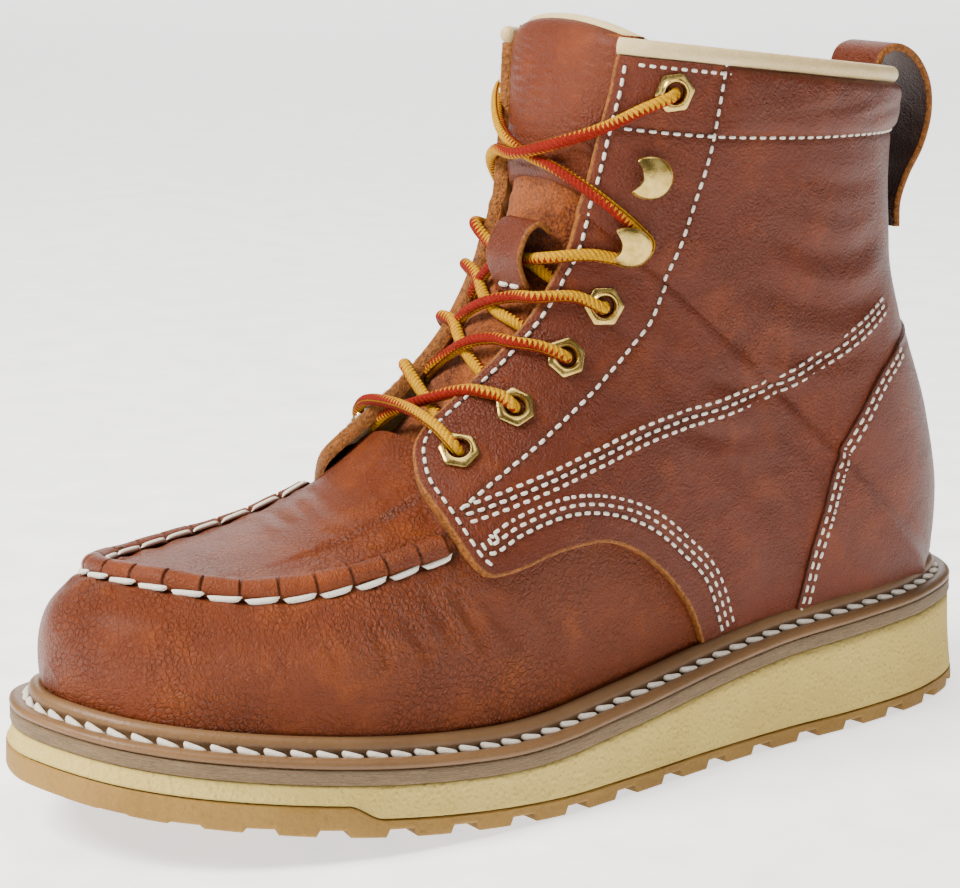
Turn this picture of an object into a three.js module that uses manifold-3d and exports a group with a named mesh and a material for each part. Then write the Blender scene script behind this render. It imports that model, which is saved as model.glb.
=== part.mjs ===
// A left moc toe work boot on a wedge sole, in millimetres.
// +X is the lateral side, -Y the toe, +Z up, and the floor is z = 0.
// The last is a fan of stations: each runs from a point of the footprint or the heel's back
// up to a point of the instep or the shaft's front. Every layer of leather is a copy of that
// form, grown along its normals, and the panels are cut out between two such copies.
import * as THREE from "three";
import { mergeVertices } from "three/addons/utils/BufferGeometryUtils.js";
import Module from "manifold-3d";

// Driving sizes of the sole
const soleLength = 304;
const ballWidth = 108.5;
const heelHeight = 32.6;
const toeSpring = 16.9;
const stripThickness = 4.1;
const stripFlare = 1.4;
const treadThickness = 4.8;
const lugDepth = 3;
const lugWidth = 9;
const lugPitch = 18;
const lugReach = 24;
const weltEdge = 2.0;
const beadHeight = 6.9;
const beadWidth = 2.8;
const insoleThickness = 3.5;
const insoleEase = 1.6;

// Driving sizes of the upper
const collarHeight = 199;
const collarDrop = 14.5;
const wall = 2.2;
const panelThickness = 1.5;
const counterThickness = 2.0;
const cuffThickness = 2.5;
const backstayThickness = 3.0;
const backstayWidth = 14;
const gap = 0.3;
const seamWidth = 4.8;
const seamHeight = 3.4;
const tongueThickness = 2.6;
const tonguePad = 6.0;

// Driving sizes of the trim
const eyeletAcross = 11;
const eyeletBore = 5.0;
const eyeletFlange = 1.3;
const barrelWall = 0.7;
const hookWidth = 11;
const hookLength = 12;
const hookSheet = 1.0;
const hookNeck = 7.7;
const laceDiameter = 4.0;
const loopWidth = 21;
const loopThickness = 2.2;
const keeperWidth = 13;
const keeperThickness = 1.6;

// Places that follow from the sizes
const soleHeel = soleLength / 2;
const panelOuter = gap + panelThickness;
const footInset = 0.095 * ballWidth;
const sink = 3;
const collarLean = 115 / 304 * soleLength;

const wasm = await Module();
wasm.setup();

const leather = (color, roughness) => new THREE.MeshStandardMaterial({ color, roughness, metalness: 0 });
const materials = {
  tread: leather(0xa08a5e, 0.85),
  wedge: leather(0xc6b888, 0.9),
  strip: leather(0x85776a, 0.7),
  welt: leather(0x8a705a, 0.6),
  insole: leather(0xcdbb98, 0.9),
  vamp: leather(0x9c4f26, 0.45),
  quarter: leather(0x934122, 0.45),
  cuff: leather(0x964525, 0.45),
  tongue: leather(0x96552c, 0.7),
  brass: new THREE.MeshStandardMaterial({ color: 0xc4b587, roughness: 0.3, metalness: 0.9 }),
  lace: leather(0xd8a428, 0.75),
};

// Half widths of the sole's edge, as shares of ballWidth, at shares of soleLength from the heel
const soleOutline = [
  { along: 0.0, lateral: -0.028, medial: -0.028 },
  { along: 0.025, lateral: 0.152, medial: -0.194 },
  { along: 0.1, lateral: 0.282, medial: -0.319 },
  { along: 0.2, lateral: 0.341, medial: -0.356 },
  { along: 0.3, lateral: 0.362, medial: -0.346 },
  { along: 0.4, lateral: 0.399, medial: -0.336 },
  { along: 0.5, lateral: 0.45, medial: -0.369 },
  { along: 0.6, lateral: 0.49, medial: -0.433 },
  { along: 0.7, lateral: 0.4995, medial: -0.4885 },
  { along: 0.78, lateral: 0.479, medial: -0.502 },
  { along: 0.86, lateral: 0.415, medial: -0.47 },
  { along: 0.93, lateral: 0.3115, medial: -0.387 },
  { along: 0.975, lateral: 0.1705, medial: -0.2765 },
  { along: 1.0, lateral: -0.074, medial: -0.074 },
];

// Thickness under the welt, as shares of heelHeight
const soleThickness = [
  { along: 0.0, thick: 1.0 },
  { along: 0.25, thick: 0.93 },
  { along: 0.5, thick: 0.681 },
  { along: 0.65, thick: 0.549 },
  { along: 0.8, thick: 0.534 },
  { along: 1.0, thick: 0.497 },
];
const springStart = 0.56;
const springPower = 1.6;

// Stations of the last. front and back are shares of soleLength (from the middle, toe negative),
// high is a share of collarHeight, climb is the back point's height over the sole in the same
// share, foot is how much of the footprint the station still has, crest and the two sides beyond
// the footprint are shares of ballWidth, widest is a share of the station and full its power.
const stationColumns = [
  "front", "high", "crest", "back", "climb", "foot", "lateral", "medial", "widest", "full", "low",
];
const stations = [
  [-0.4757, 0.231, -0.065, -0.4645, 0, 1, 0.0055, 0.0055, 0.45, 2.0, 1.0],
  [-0.471, 0.276, -0.065, -0.4605, 0, 1, 0.026, 0.026, 0.44, 2.0, 1.0],
  [-0.456, 0.3115, -0.065, -0.449, 0, 1, 0.033, 0.035, 0.43, 2.05, 1.0],
  [-0.4275, 0.3355, -0.065, -0.426, 0, 1, 0.035, 0.0385, 0.42, 2.1, 1.0],
  [-0.3865, 0.353, -0.065, -0.39, 0, 1, 0.033, 0.037, 0.42, 2.15, 1.0],
  [-0.332, 0.369, -0.065, -0.3435, 0, 1, 0.0295, 0.0295, 0.4, 2.15, 1.0],
  [-0.276, 0.392, -0.065, -0.283, 0, 1, 0.0275, 0.0275, 0.36, 2.12, 1.0],
  [-0.22, 0.427, -0.055, -0.214, 0, 1, 0.024, 0.024, 0.32, 2.1, 1.0],
  [-0.168, 0.475, -0.046, -0.138, 0, 1, 0.022, 0.022, 0.28, 2.1, 1.0],
  [-0.1217, 0.53, -0.037, -0.0525, 0, 1, 0.024, 0.026, 0.27, 2.1, 1.0],
  [-0.082, 0.593, -0.028, 0.046, 0, 1, 0.0315, 0.037, 0.27, 2.2, 1.0],
  [-0.0543, 0.656, -0.018, 0.1645, 0, 1, 0.0425, 0.046, 0.3, 2.35, 1.0],
  [-0.036, 0.716, -0.009, 0.296, 0, 1, 0.048, 0.048, 0.34, 2.5, 1.1],
  [-0.0247, 0.764, 0, 0.4015, 0, 1, 0.1145, 0.1015, 0.38, 2.7, 1.5],
  [-0.0178, 0.794, 0, 0.449, 0, 1, 0.203, 0.187, 0.41, 2.75, 1.9],
  [-0.013, 0.819, 0, 0.464, 0.03, 0.2, 0.296, 0.296, 0.43, 2.8, 2.0],
  [-0.0072, 0.849, 0, 0.4655, 0.1105, 0, 0.311, 0.311, 0.45, 2.9, 2.0],
  [-0.0013, 0.8845, 0, 0.4505, 0.231, 0, 0.3135, 0.3135, 0.47, 3.0, 2.0],
  [0.004, 0.917, 0, 0.418, 0.362, 0, 0.3225, 0.318, 0.48, 3.05, 2.0],
  [0.0092, 0.95, 0, 0.393, 0.5025, 0, 0.332, 0.327, 0.49, 3.15, 2.0],
  [0.0138, 0.9775, 0, 0.388, 0.643, 0, 0.341, 0.3365, 0.5, 3.2, 2.0],
  [0.0178, 1.0075, 0, 0.393, 0.7715, 0, 0.35, 0.3455, 0.5, 3.3, 2.0],
  [0.0263, 1.07, 0, 0.3997, 0.844, 0, 0.356, 0.351, 0.5, 3.3, 2.0],
].map((row) => Object.fromEntries(stationColumns.map((key, i) => [key, row[i]])));

// Side outlines of the panels: shares of soleLength from the middle, and of collarHeight
const stayFront = [
  { at: -0.1612, high: 0.4553 }, { at: -0.1503, high: 0.4764 }, { at: -0.1003, high: 0.5387 },
  { at: -0.0609, high: 0.5945 }, { at: -0.0263, high: 0.6578 }, { at: 0.0007, high: 0.7362 },
  { at: 0.0148, high: 0.8236 }, { at: 0.0257, high: 0.9106 }, { at: 0.0339, high: 0.99 }, { at: 0.04, high: 1.07 },
];
const stayFoot = [
  { at: -0.1681, high: 0.4302 }, { at: -0.1648, high: 0.4005 }, { at: -0.1592, high: 0.3698 },
  { at: -0.1507, high: 0.3397 }, { at: -0.1418, high: 0.3256 },
];
const arch = [
  { at: -0.1336, high: 0.3221 }, { at: -0.1053, high: 0.3256 }, { at: -0.0579, high: 0.3387 },
  { at: -0.0059, high: 0.3382 }, { at: 0.0283, high: 0.3171 }, { at: 0.0635, high: 0.2759 },
  { at: 0.0928, high: 0.2216 }, { at: 0.1115, high: 0.1628 }, { at: 0.122, high: 0.08 },
];
const stayBack = [
  { at: 0.1225, high: 1.0 }, { at: 0.1205, high: 0.98 }, { at: 0.1125, high: 0.8734 },
];
const cuffLine = [
  { at: 0.1125, high: 0.8734 }, { at: 0.2109, high: 0.8638 }, { at: 0.38, high: 0.853 }, { at: 0.5, high: 0.847 },
];
const counterLine = [
  { at: 0.3546, high: 0.5462 }, { at: 0.2993, high: 0.4789 }, { at: 0.2786, high: 0.4251 },
  { at: 0.2582, high: 0.3337 }, { at: 0.2493, high: 0.2844 }, { at: 0.2378, high: 0.2307 }, { at: 0.222, high: 0.15 },
];

// The ridge of the toe's plug in plan, as shares of soleLength and ballWidth
const seamPath = [
  { across: 0.3275, at: -0.1661 }, { across: 0.3145, at: -0.21 }, { across: 0.2985, at: -0.2513 },
  { across: 0.2545, at: -0.3109 }, { across: 0.1825, at: -0.3582 }, { across: 0.0745, at: -0.3934 },
  { across: -0.058, at: -0.4132 }, { across: -0.17, at: -0.4112 }, { across: -0.258, at: -0.3898 },
  { across: -0.3226, at: -0.3322 }, { across: -0.3548, at: -0.2632 }, { across: -0.3318, at: -0.1974 },
  { across: -0.3052, at: -0.1661 },
];

// Eyelets and hooks up the stay
const lacing = [
  { kind: "eyelet", at: -0.127, high: 0.4688 },
  { kind: "eyelet", at: -0.0717, high: 0.5201 },
  { kind: "eyelet", at: -0.0188, high: 0.5809 },
  { kind: "eyelet", at: 0.0227, high: 0.6472 },
  { kind: "hook", at: 0.048, high: 0.7347 },
  { kind: "hook", at: 0.0579, high: 0.8231 },
  { kind: "eyelet", at: 0.0734, high: 0.9347 },
];

// Interpolation: cubic through the rows, with slopes that never overshoot
function smooth(xs, ys) {
  const n = xs.length;
  const step = xs.slice(1).map((x, i) => x - xs[i]);
  const rise = step.map((h, i) => (ys[i + 1] - ys[i]) / h);
  const slope = ys.map((_, i) => {
    if (i === 0) return rise[0];
    if (i === n - 1) return rise[n - 2];
    if (rise[i - 1] * rise[i] <= 0) return 0;
    const a = 2 * step[i] + step[i - 1];
    const b = step[i] + 2 * step[i - 1];
    return (a + b) / (a / rise[i - 1] + b / rise[i]);
  });
  return (x) => {
    let i = 0;
    while (i < n - 2 && x > xs[i + 1]) i += 1;
    const h = step[i];
    const t = Math.min(Math.max((x - xs[i]) / h, 0), 1);
    const u = 1 - t;
    return ys[i] * u * u * (1 + 2 * t) + ys[i + 1] * t * t * (3 - 2 * t)
      + h * t * u * (slope[i] * u - slope[i + 1] * t);
  };
}

const outlinePoints = [
  ...soleOutline.map((r) => new THREE.Vector3(r.lateral * ballWidth, soleHeel - r.along * soleLength, 0)),
  ...soleOutline.slice(1, -1).reverse()
    .map((r) => new THREE.Vector3(r.medial * ballWidth, soleHeel - r.along * soleLength, 0)),
];
const outlineCurve = new THREE.CatmullRomCurve3(outlinePoints, true, "centripetal");

// The sole's edge in plan, moved outwards by grow: count points, heel first, lateral side first
function edge(count, grow) {
  const points = [];
  for (let k = 0; k < count; k += 1) {
    const t = k / count;
    const p = outlineCurve.getPoint(t);
    const d = outlineCurve.getTangent(t);
    points.push(new THREE.Vector2(p.x - d.y * grow, p.y + d.x * grow));
  }
  return points;
}

const thickness = smooth(soleThickness.map((r) => r.along), soleThickness.map((r) => r.thick * heelHeight));
const alongOf = (y) => Math.min(Math.max((soleHeel - y) / soleLength, 0), 1);
function floorRise(y) {
  const share = Math.max((alongOf(y) - springStart) / (1 - springStart), 0);
  return toeSpring * share ** springPower;
}
const soleTop = (y) => thickness(alongOf(y)) + floorRise(y);

const footprint = edge(720, -footInset);
const footHeel = Math.max(...footprint.map((p) => p.y));
const footToe = Math.min(...footprint.map((p) => p.y));

// The two sides of the footprint at y, lateral first
function footSides(y) {
  const at = Math.min(Math.max(y, footToe + 0.01), footHeel - 0.01);
  const found = [];
  footprint.forEach((p, i) => {
    const q = footprint[(i + 1) % footprint.length];
    if ((p.y - at) * (q.y - at) <= 0 && p.y !== q.y) {
      found.push(p.x + (q.x - p.x) * (at - p.y) / (q.y - p.y));
    }
  });
  return [Math.max(...found), Math.min(...found)];
}

const stationShare = stations.map((_, i) => i / (stations.length - 1));
const column = (key) => smooth(stationShare, stations.map((row) => row[key]));
const station = Object.fromEntries(Object.keys(stations[0]).map((key) => [key, column(key)]));

// One side of a station, as [x, share up the station] from the footprint's edge to the crest
function halfStation(foot, out, crest, widest, full, low) {
  const points = [];
  for (let i = 0; i < 24; i += 1) {
    const u = i / 24;
    points.push([foot + (out - foot) * (1 - (1 - u) ** 2) ** (1 / low), u * widest]);
  }
  for (let i = 0; i <= 48; i += 1) {
    const angle = i / 48 * Math.PI / 2;
    points.push([
      crest + (out - crest) * Math.cos(angle) ** (2 / full),
      widest + (1 - widest) * Math.sin(angle) ** (2 / full),
    ]);
  }
  return points;
}

// The same points spread evenly along their own length
function spread(points, height, count) {
  const run = [0];
  for (let i = 1; i < points.length; i += 1) {
    run.push(run[i - 1] + Math.hypot(points[i][0] - points[i - 1][0], (points[i][1] - points[i - 1][1]) * height));
  }
  const result = [];
  let j = 1;
  for (let k = 0; k <= count; k += 1) {
    const target = run[run.length - 1] * k / count;
    while (j < run.length - 1 && run[j] < target) j += 1;
    const t = (target - run[j - 1]) / (run[j] - run[j - 1]);
    result.push([0, 1].map((c) => points[j - 1][c] + (points[j][c] - points[j - 1][c]) * t));
  }
  return result;
}

// The ring of the last at share s: lateral side up, then medial side down
function ring(s, count) {
  const v = Object.fromEntries(Object.entries(station).map(([key, f]) => [key, f(s)]));
  const frontY = v.front * soleLength;
  const frontZ = v.high * collarHeight;
  const backY = v.back * soleLength;
  const backZ = soleTop(Math.min(Math.max(backY, footToe), footHeel)) + v.climb * collarHeight - sink * v.foot;
  const [footLateral, footMedial] = footSides(backY);
  const middle = (footLateral + footMedial) / 2 * v.foot;
  const lateral = Math.max(footLateral * v.foot, middle + 0.4);
  const medial = Math.min(footMedial * v.foot, middle - 0.4);
  const crest = v.crest * ballWidth;
  const height = Math.hypot(frontY - backY, frontZ - backZ);
  const shape = (foot, out) => spread(halfStation(foot, out, crest, v.widest, v.full, v.low), height, count);
  const up = shape(lateral, lateral + v.lateral * ballWidth);
  const down = shape(medial, medial - v.medial * ballWidth).reverse().slice(1);
  return [[middle, 0], ...up, ...down]
    .map(([x, t]) => new THREE.Vector3(x, backY + (frontY - backY) * t, backZ + (frontZ - backZ) * t));
}

// A closed mesh through rings of points; the end rings are closed by fans
function loft(rings) {
  const count = rings[0].length;
  const points = rings.flat();
  const faces = [];
  for (let i = 0; i < rings.length - 1; i += 1) {
    for (let j = 0; j < count; j += 1) {
      const k = (j + 1) % count;
      const [a, b, c, d] = [i * count + j, i * count + k, (i + 1) * count + k, (i + 1) * count + j];
      faces.push(a, b, c, a, c, d);
    }
  }
  [[0, false], [rings.length - 1, true]].forEach(([i, last]) => {
    const centre = points.length;
    points.push(rings[i].reduce((sum, p) => sum.add(p), new THREE.Vector3()).divideScalar(count));
    for (let j = 0; j < count; j += 1) {
      const k = (j + 1) % count;
      if (last) faces.push(i * count + j, i * count + k, centre);
      else faces.push(i * count + k, i * count + j, centre);
    }
  });
  const geometry = new THREE.BufferGeometry();
  geometry.setAttribute("position", new THREE.Float32BufferAttribute(points.flatMap((p) => [p.x, p.y, p.z]), 3));
  geometry.setIndex(faces);
  return outwards(geometry);
}

// Turns a closed mesh's faces outwards
function outwards(geometry) {
  const p = geometry.attributes.position;
  const index = geometry.index.array;
  const [a, b, c] = [0, 1, 2].map(() => new THREE.Vector3());
  let volume = 0;
  for (let i = 0; i < index.length; i += 3) {
    a.fromBufferAttribute(p, index[i]);
    b.fromBufferAttribute(p, index[i + 1]);
    c.fromBufferAttribute(p, index[i + 2]);
    volume += a.dot(b.cross(c));
  }
  if (volume < 0) {
    for (let i = 0; i < index.length; i += 3) [index[i + 1], index[i + 2]] = [index[i + 2], index[i + 1]];
  }
  return geometry;
}

function solid(geometry) {
  const bare = geometry.clone();
  Object.keys(bare.attributes).filter((key) => key !== "position").forEach((key) => bare.deleteAttribute(key));
  const merged = mergeVertices(bare, 1e-4);
  return new wasm.Manifold(new wasm.Mesh({
    numProp: 3,
    vertProperties: new Float32Array(merged.attributes.position.array),
    triVerts: new Uint32Array(merged.index.array),
  }));
}

// The last's rings between two shares, each point moved along its normal by grow(share)
function grownRings(grow, rows, count, from = 0, to = 1) {
  const shares = Array.from({ length: rows }, (_, i) => from + (to - from) * i / (rows - 1));
  const rings = shares.map((s) => ring(s, count));
  const total = rings[0].length;
  return rings.map((loop, i) => loop.map((p, j) => {
    const along = rings[Math.min(i + 1, rows - 1)][j].clone().sub(rings[Math.max(i - 1, 0)][j]);
    const around = loop[(j + 1) % total].clone().sub(loop[(j + total - 1) % total]);
    const normal = along.cross(around).normalize();
    return p.clone().addScaledVector(normal, grow(shares[i]));
  }));
}

// A form inside the upper starts a little behind the toe
const innerForm = (grow) => formSolid(grow, 18, 8, 0.05);

// The first grown form tells which way its normals point
function formSolid(grow, rows = 24, count = 9, from = 0, to = 1) {
  const amount = typeof grow === "number" ? () => grow : grow;
  return solid(loft(grownRings((s) => normalSign * amount(s), rows, count, from, to)));
}
const normalSign = (() => {
  const size = (amount) => Math.abs(solid(loft(grownRings(() => amount, 20, 8))).volume());
  return size(1) > size(0) ? 1 : -1;
})();

// A prism along X between two planes, from an outline in side view
function prism(points, fromX = -120, toX = 120) {
  const shape = new THREE.Shape(points.map(([y, z]) => new THREE.Vector2(y, z)));
  const geometry = new THREE.ExtrudeGeometry(shape, { depth: toX - fromX, bevelEnabled: false });
  const turned = new THREE.Matrix4().set(0, 0, 1, fromX, 1, 0, 0, 0, 0, 1, 0, 0, 0, 0, 0, 1);
  geometry.applyMatrix4(turned);
  return solid(geometry);
}
const side = (rows, shift = 0) => rows.map((r) => [r.at * soleLength + shift, r.high * collarHeight]);

// Points on a smooth curve through a few side-view points
function curved(points, steps) {
  const curve = new THREE.SplineCurve(points.map(([y, z]) => new THREE.Vector2(y, z)));
  return curve.getPoints(steps).map((p) => [p.x, p.y]);
}

// The same line moved sideways in the side view, to its left for a positive amount
function moved(points, amount) {
  return points.map((p, i) => {
    const a = points[Math.max(i - 1, 0)];
    const b = points[Math.min(i + 1, points.length - 1)];
    const length = Math.hypot(b[0] - a[0], b[1] - a[1]);
    return [p[0] - (b[1] - a[1]) / length * amount, p[1] + (b[0] - a[0]) / length * amount];
  });
}

// Everything under the sole's top, raised by extra
function underSole(extra) {
  const rings = [];
  for (let k = 0; k <= 18; k += 1) {
    const y = soleHeel + 30 - (soleLength + 60) * k / 18;
    const top = soleTop(y) + extra;
    rings.push([[-90, -40], [90, -40], [90, top], [-90, top]].map(([x, z]) => new THREE.Vector3(x, y, z)));
  }
  return solid(loft(rings));
}

const far = 1.2 * soleLength;
const collarLine = (shift) => {
  const z = (y) => collarHeight + shift - collarDrop * (y - 0.018 * soleLength) / collarLean;
  return [[-far, z(-far)], [far, z(far)]];
};
const overCollar = (shift) => prism([...collarLine(shift), [far, 2 * far], [-far, 2 * far]]);

const bothSides = { lateral: 1, medial: -1 };
const halfSpace = (sign, from) => prism([[-far, -far], [far, -far], [far, far], [-far, far]],
  sign > 0 ? from : -120, sign > 0 ? 120 : -from);
const archCurve = curved([...side(stayFoot), ...side(arch)], 22);
const archEnd = arch[arch.length - 2].at * soleLength - 1;

const base = formSolid(0);
const underPanels = formSolid(gap);
const floorCut = underSole(gap);
const shells = {
  panel: formSolid(panelOuter).subtract(underPanels),
  counter: formSolid(gap + counterThickness).subtract(underPanels),
  cuff: formSolid(gap + cuffThickness).subtract(underPanels),
  backstay: formSolid(gap + backstayThickness).subtract(underPanels),
};

// The sole's layers: levels from bottom to top, each a grow and a height over the plan
function slab(levels, count = 64) {
  const rings = levels.map(({ grow, height }) => edge(count, grow).map((p) => new THREE.Vector3(p.x, p.y, height(p.y))));
  const points = rings.flat();
  const faces = [];
  for (let i = 0; i < rings.length - 1; i += 1) {
    for (let j = 0; j < count; j += 1) {
      const k = (j + 1) % count;
      const [a, b, c, d] = [i * count + j, i * count + k, (i + 1) * count + k, (i + 1) * count + j];
      faces.push(a, b, c, a, c, d);
    }
  }
  const cap = (start, flip) => {
    for (let j = 0; j < count / 2; j += 1) {
      const [a, b] = [start + j, start + j + 1];
      const [c, d] = [start + (count - j - 1) % count, start + (count - j) % count];
      if (b !== c) faces.push(...(flip ? [b, a, c] : [a, b, c]));
      if (a !== d) faces.push(...(flip ? [c, a, d] : [a, c, d]));
    }
  };
  cap(0, true);
  cap((rings.length - 1) * count, false);
  const geometry = new THREE.BufferGeometry();
  geometry.setAttribute("position", new THREE.Float32BufferAttribute(points.flatMap((p) => [p.x, p.y, p.z]), 3));
  geometry.setIndex(faces);
  return solid(outwards(geometry));
}

const stripBottom = (y) => soleTop(y) - stripThickness;

// The outsole is thin under the wedge and thick in the toe, with a sloping step between them
const toePartEnd = -0.27;
const toePartSlope = 0.03;
function treadTop(y) {
  const share = Math.min(Math.max((toePartEnd * soleLength - y) / (toePartSlope * soleLength), 0), 1);
  const thin = floorRise(y) + treadThickness;
  const thick = stripBottom(y) - 5.2;
  return thin + (thick - thin) * share;
}
const flareAt = (z, y) => stripFlare * Math.min(Math.max(1 - (z - floorRise(y)) / (stripBottom(y) - floorRise(y)), 0), 1);

function makeOutsole() {
  let body = slab([
    { grow: stripFlare - 0.8, height: (y) => floorRise(y) },
    { grow: stripFlare, height: (y) => floorRise(y) + 0.8 },
    { grow: stripFlare - 0.3, height: (y) => treadTop(y) - gap / 2 },
  ], 56);
  const lugs = Math.floor(0.9 * soleLength / lugPitch);
  for (let k = 0; k < lugs; k += 1) {
    const y = soleHeel - 0.062 * soleLength - k * lugPitch;
    const [lateral, medial] = footSides(y);
    const middle = (lateral + medial) / 2;
    const level = floorRise(y);
    const cut = (fromX, toX) => prism([
      [y - lugWidth / 2, level - 9], [y + lugWidth / 2, level - 9],
      [y + lugWidth / 2 - 1, level + lugDepth], [y - lugWidth / 2 + 1, level + lugDepth],
    ], fromX, toX);
    body = body.subtract(cut(Math.max(lateral + footInset - lugReach, middle + 5), 90));
    body = body.subtract(cut(-90, Math.min(medial - footInset + lugReach, middle - 5)));
  }
  return body;
}

function makeWedge() {
  return slab([
    { grow: stripFlare - 0.3, height: (y) => treadTop(y) + gap / 2 },
    { grow: -0.4, height: (y) => stripBottom(y) - gap },
  ], 56);
}

function makeMidsole() {
  return slab([
    { grow: -0.5, height: (y) => stripBottom(y) },
    { grow: 0, height: (y) => stripBottom(y) + 0.7 },
    { grow: 0, height: (y) => soleTop(y) - 0.6 },
    { grow: -0.6, height: (y) => soleTop(y) },
  ]);
}

// The welt: inset from the sole's edge and height over the sole's top
function makeWelt() {
  const groove = footInset - panelOuter - gap - beadWidth;
  const inner = footInset;
  const profile = [
    [0.4, gap], [0, gap + 0.7], [0.5, weltEdge], [groove - 1.4, weltEdge + 0.4], [groove - 0.6, weltEdge - 0.7],
    [groove, beadHeight - 2], [groove + 1.4, beadHeight], [inner, gap],
  ];
  const count = 48;
  const loops = profile.map(([inset]) => edge(count, -inset));
  const rings = Array.from({ length: count }, (_, k) => profile.map(([, height], i) => {
    const p = loops[i][k];
    return new THREE.Vector3(p.x, p.y, soleTop(p.y) + height);
  }));
  const points = rings.flat();
  const faces = [];
  const size = profile.length;
  for (let i = 0; i < count; i += 1) {
    for (let j = 0; j < size; j += 1) {
      const [i2, j2] = [(i + 1) % count, (j + 1) % size];
      faces.push(i * size + j, i2 * size + j, i2 * size + j2, i * size + j, i2 * size + j2, i * size + j2);
    }
  }
  const geometry = new THREE.BufferGeometry();
  geometry.setAttribute("position", new THREE.Float32BufferAttribute(points.flatMap((p) => [p.x, p.y, p.z]), 3));
  geometry.setIndex(faces);
  const behindArch = prism([[archEnd - gap, -far], [far, -far], [far, far], [archEnd - gap, far]]);
  const middleBack = halfSpace(1, -backstayWidth / 2).intersect(halfSpace(-1, -backstayWidth / 2));
  return solid(outwards(geometry)).subtract(underPanels)
    .subtract(formSolid(2 * gap + counterThickness).intersect(behindArch))
    .subtract(formSolid(2 * gap + backstayThickness).intersect(behindArch).intersect(middleBack));
}

// The insole's solid, or with ease the room that the upper leaves for it
function insoleForm(ease) {
  const inset = -footInset - wall - insoleEase + ease;
  return slab([
    { grow: inset, height: (y) => soleTop(y) + gap - ease },
    { grow: inset, height: (y) => soleTop(y) + gap + insoleThickness + ease },
  ], 32).intersect(innerForm(-wall - gap));
}

// Cutters shared by the upper and its panels
const stayCurve = curved(side(stayFront), 18);
const throatCut = prism([
  [-0.1415 * soleLength, 1.2 * collarHeight], [-0.141 * soleLength, 0.509 * collarHeight],
  [-0.131 * soleLength, 0.504 * collarHeight], [-0.115 * soleLength, 0.519 * collarHeight],
  ...moved(stayCurve.slice(4), -1.0), [0.04 * soleLength, 1.2 * collarHeight],
]);

function makeUpper() {
  return base.subtract(innerForm(-wall)).subtract(insoleForm(gap)).subtract(floorCut).subtract(throatCut).subtract(overCollar(0));
}

const counterCurve = curved(side(counterLine), 14);
const cuffCurve = curved(side(cuffLine), 8);
const stayBackLine = side(stayBack);
const leatherTop = -3.0;

function makeQuarter(sign) {
  const counterEdge = moved(counterCurve, -gap);
  const outline = [
    ...stayCurve.slice().reverse(), ...archCurve,
    [counterEdge[counterEdge.length - 1][0], 0], ...counterEdge.reverse(),
    [0.47 * soleLength, 0.5462 * collarHeight + 12], [0.5 * soleLength, 0.6 * collarHeight],
    ...moved(cuffCurve, -gap).reverse(), ...stayBackLine.slice().reverse(), [0.1225 * soleLength, 1.1 * collarHeight],
  ];
  return shells.panel.intersect(prism(outline)).intersect(halfSpace(sign, backstayWidth / 2))
    .subtract(floorCut).subtract(overCollar(leatherTop));
}

function makeCounter(sign) {
  const last = counterCurve[counterCurve.length - 1];
  const outline = [
    ...counterCurve, [last[0], 0], [0.55 * soleLength, 0], [0.55 * soleLength, 0.5462 * collarHeight + 12 - gap],
    [0.47 * soleLength, 0.5462 * collarHeight + 12 - gap],
  ];
  return shells.counter.intersect(prism(outline)).intersect(halfSpace(sign, backstayWidth / 2)).subtract(floorCut);
}

function makeCuff() {
  const outline = [
    ...cuffCurve.slice(1), [0.55 * soleLength, 1.2 * collarHeight], [0.13 * soleLength, 1.2 * collarHeight],
    ...moved(stayBackLine, gap),
  ];
  return shells.cuff.intersect(prism(outline)).subtract(overCollar(leatherTop));
}

function makeBackstay() {
  const outline = [
    [0.3 * soleLength, 0], [0.6 * soleLength, 0], [0.6 * soleLength, 0.847 * collarHeight - 4],
    [0.3 * soleLength, 0.8555 * collarHeight - 4],
  ];
  return shells.backstay.intersect(prism(outline, gap - backstayWidth / 2, backstayWidth / 2 - gap))
    .subtract(floorCut);
}

// Where a line along a direction first meets a solid's skin, with the face's normal
function meet(mesh, origin, direction) {
  const ray = new THREE.Ray(origin, direction);
  const { vertProperties: v, triVerts: f } = mesh;
  const corner = (i) => new THREE.Vector3(v[3 * f[i]], v[3 * f[i] + 1], v[3 * f[i] + 2]);
  let best = null;
  const point = new THREE.Vector3();
  for (let i = 0; i < f.length; i += 3) {
    const [a, b, c] = [corner(i), corner(i + 1), corner(i + 2)];
    if (ray.intersectTriangle(a, b, c, false, point)) {
      const distance = point.distanceTo(origin);
      if (!best || distance < best.distance) {
        const normal = b.clone().sub(a).cross(c.clone().sub(a)).normalize();
        best = { distance, point: point.clone(), normal };
      }
    }
  }
  return best;
}
const skinOf = (form) => {
  const mesh = form.getMesh();
  return { vertProperties: mesh.vertProperties, triVerts: mesh.triVerts };
};
const panelSkin = skinOf(formSolid(panelOuter));
const baseSkin = skinOf(base);
const onSide = (skin, sign, y, z) => meet(skin, new THREE.Vector3(sign * 150, y, z), new THREE.Vector3(-sign, 0, 0));
const onTop = (x, y) => meet(baseSkin, new THREE.Vector3(x, y, 260), new THREE.Vector3(0, 0, -1));

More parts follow.
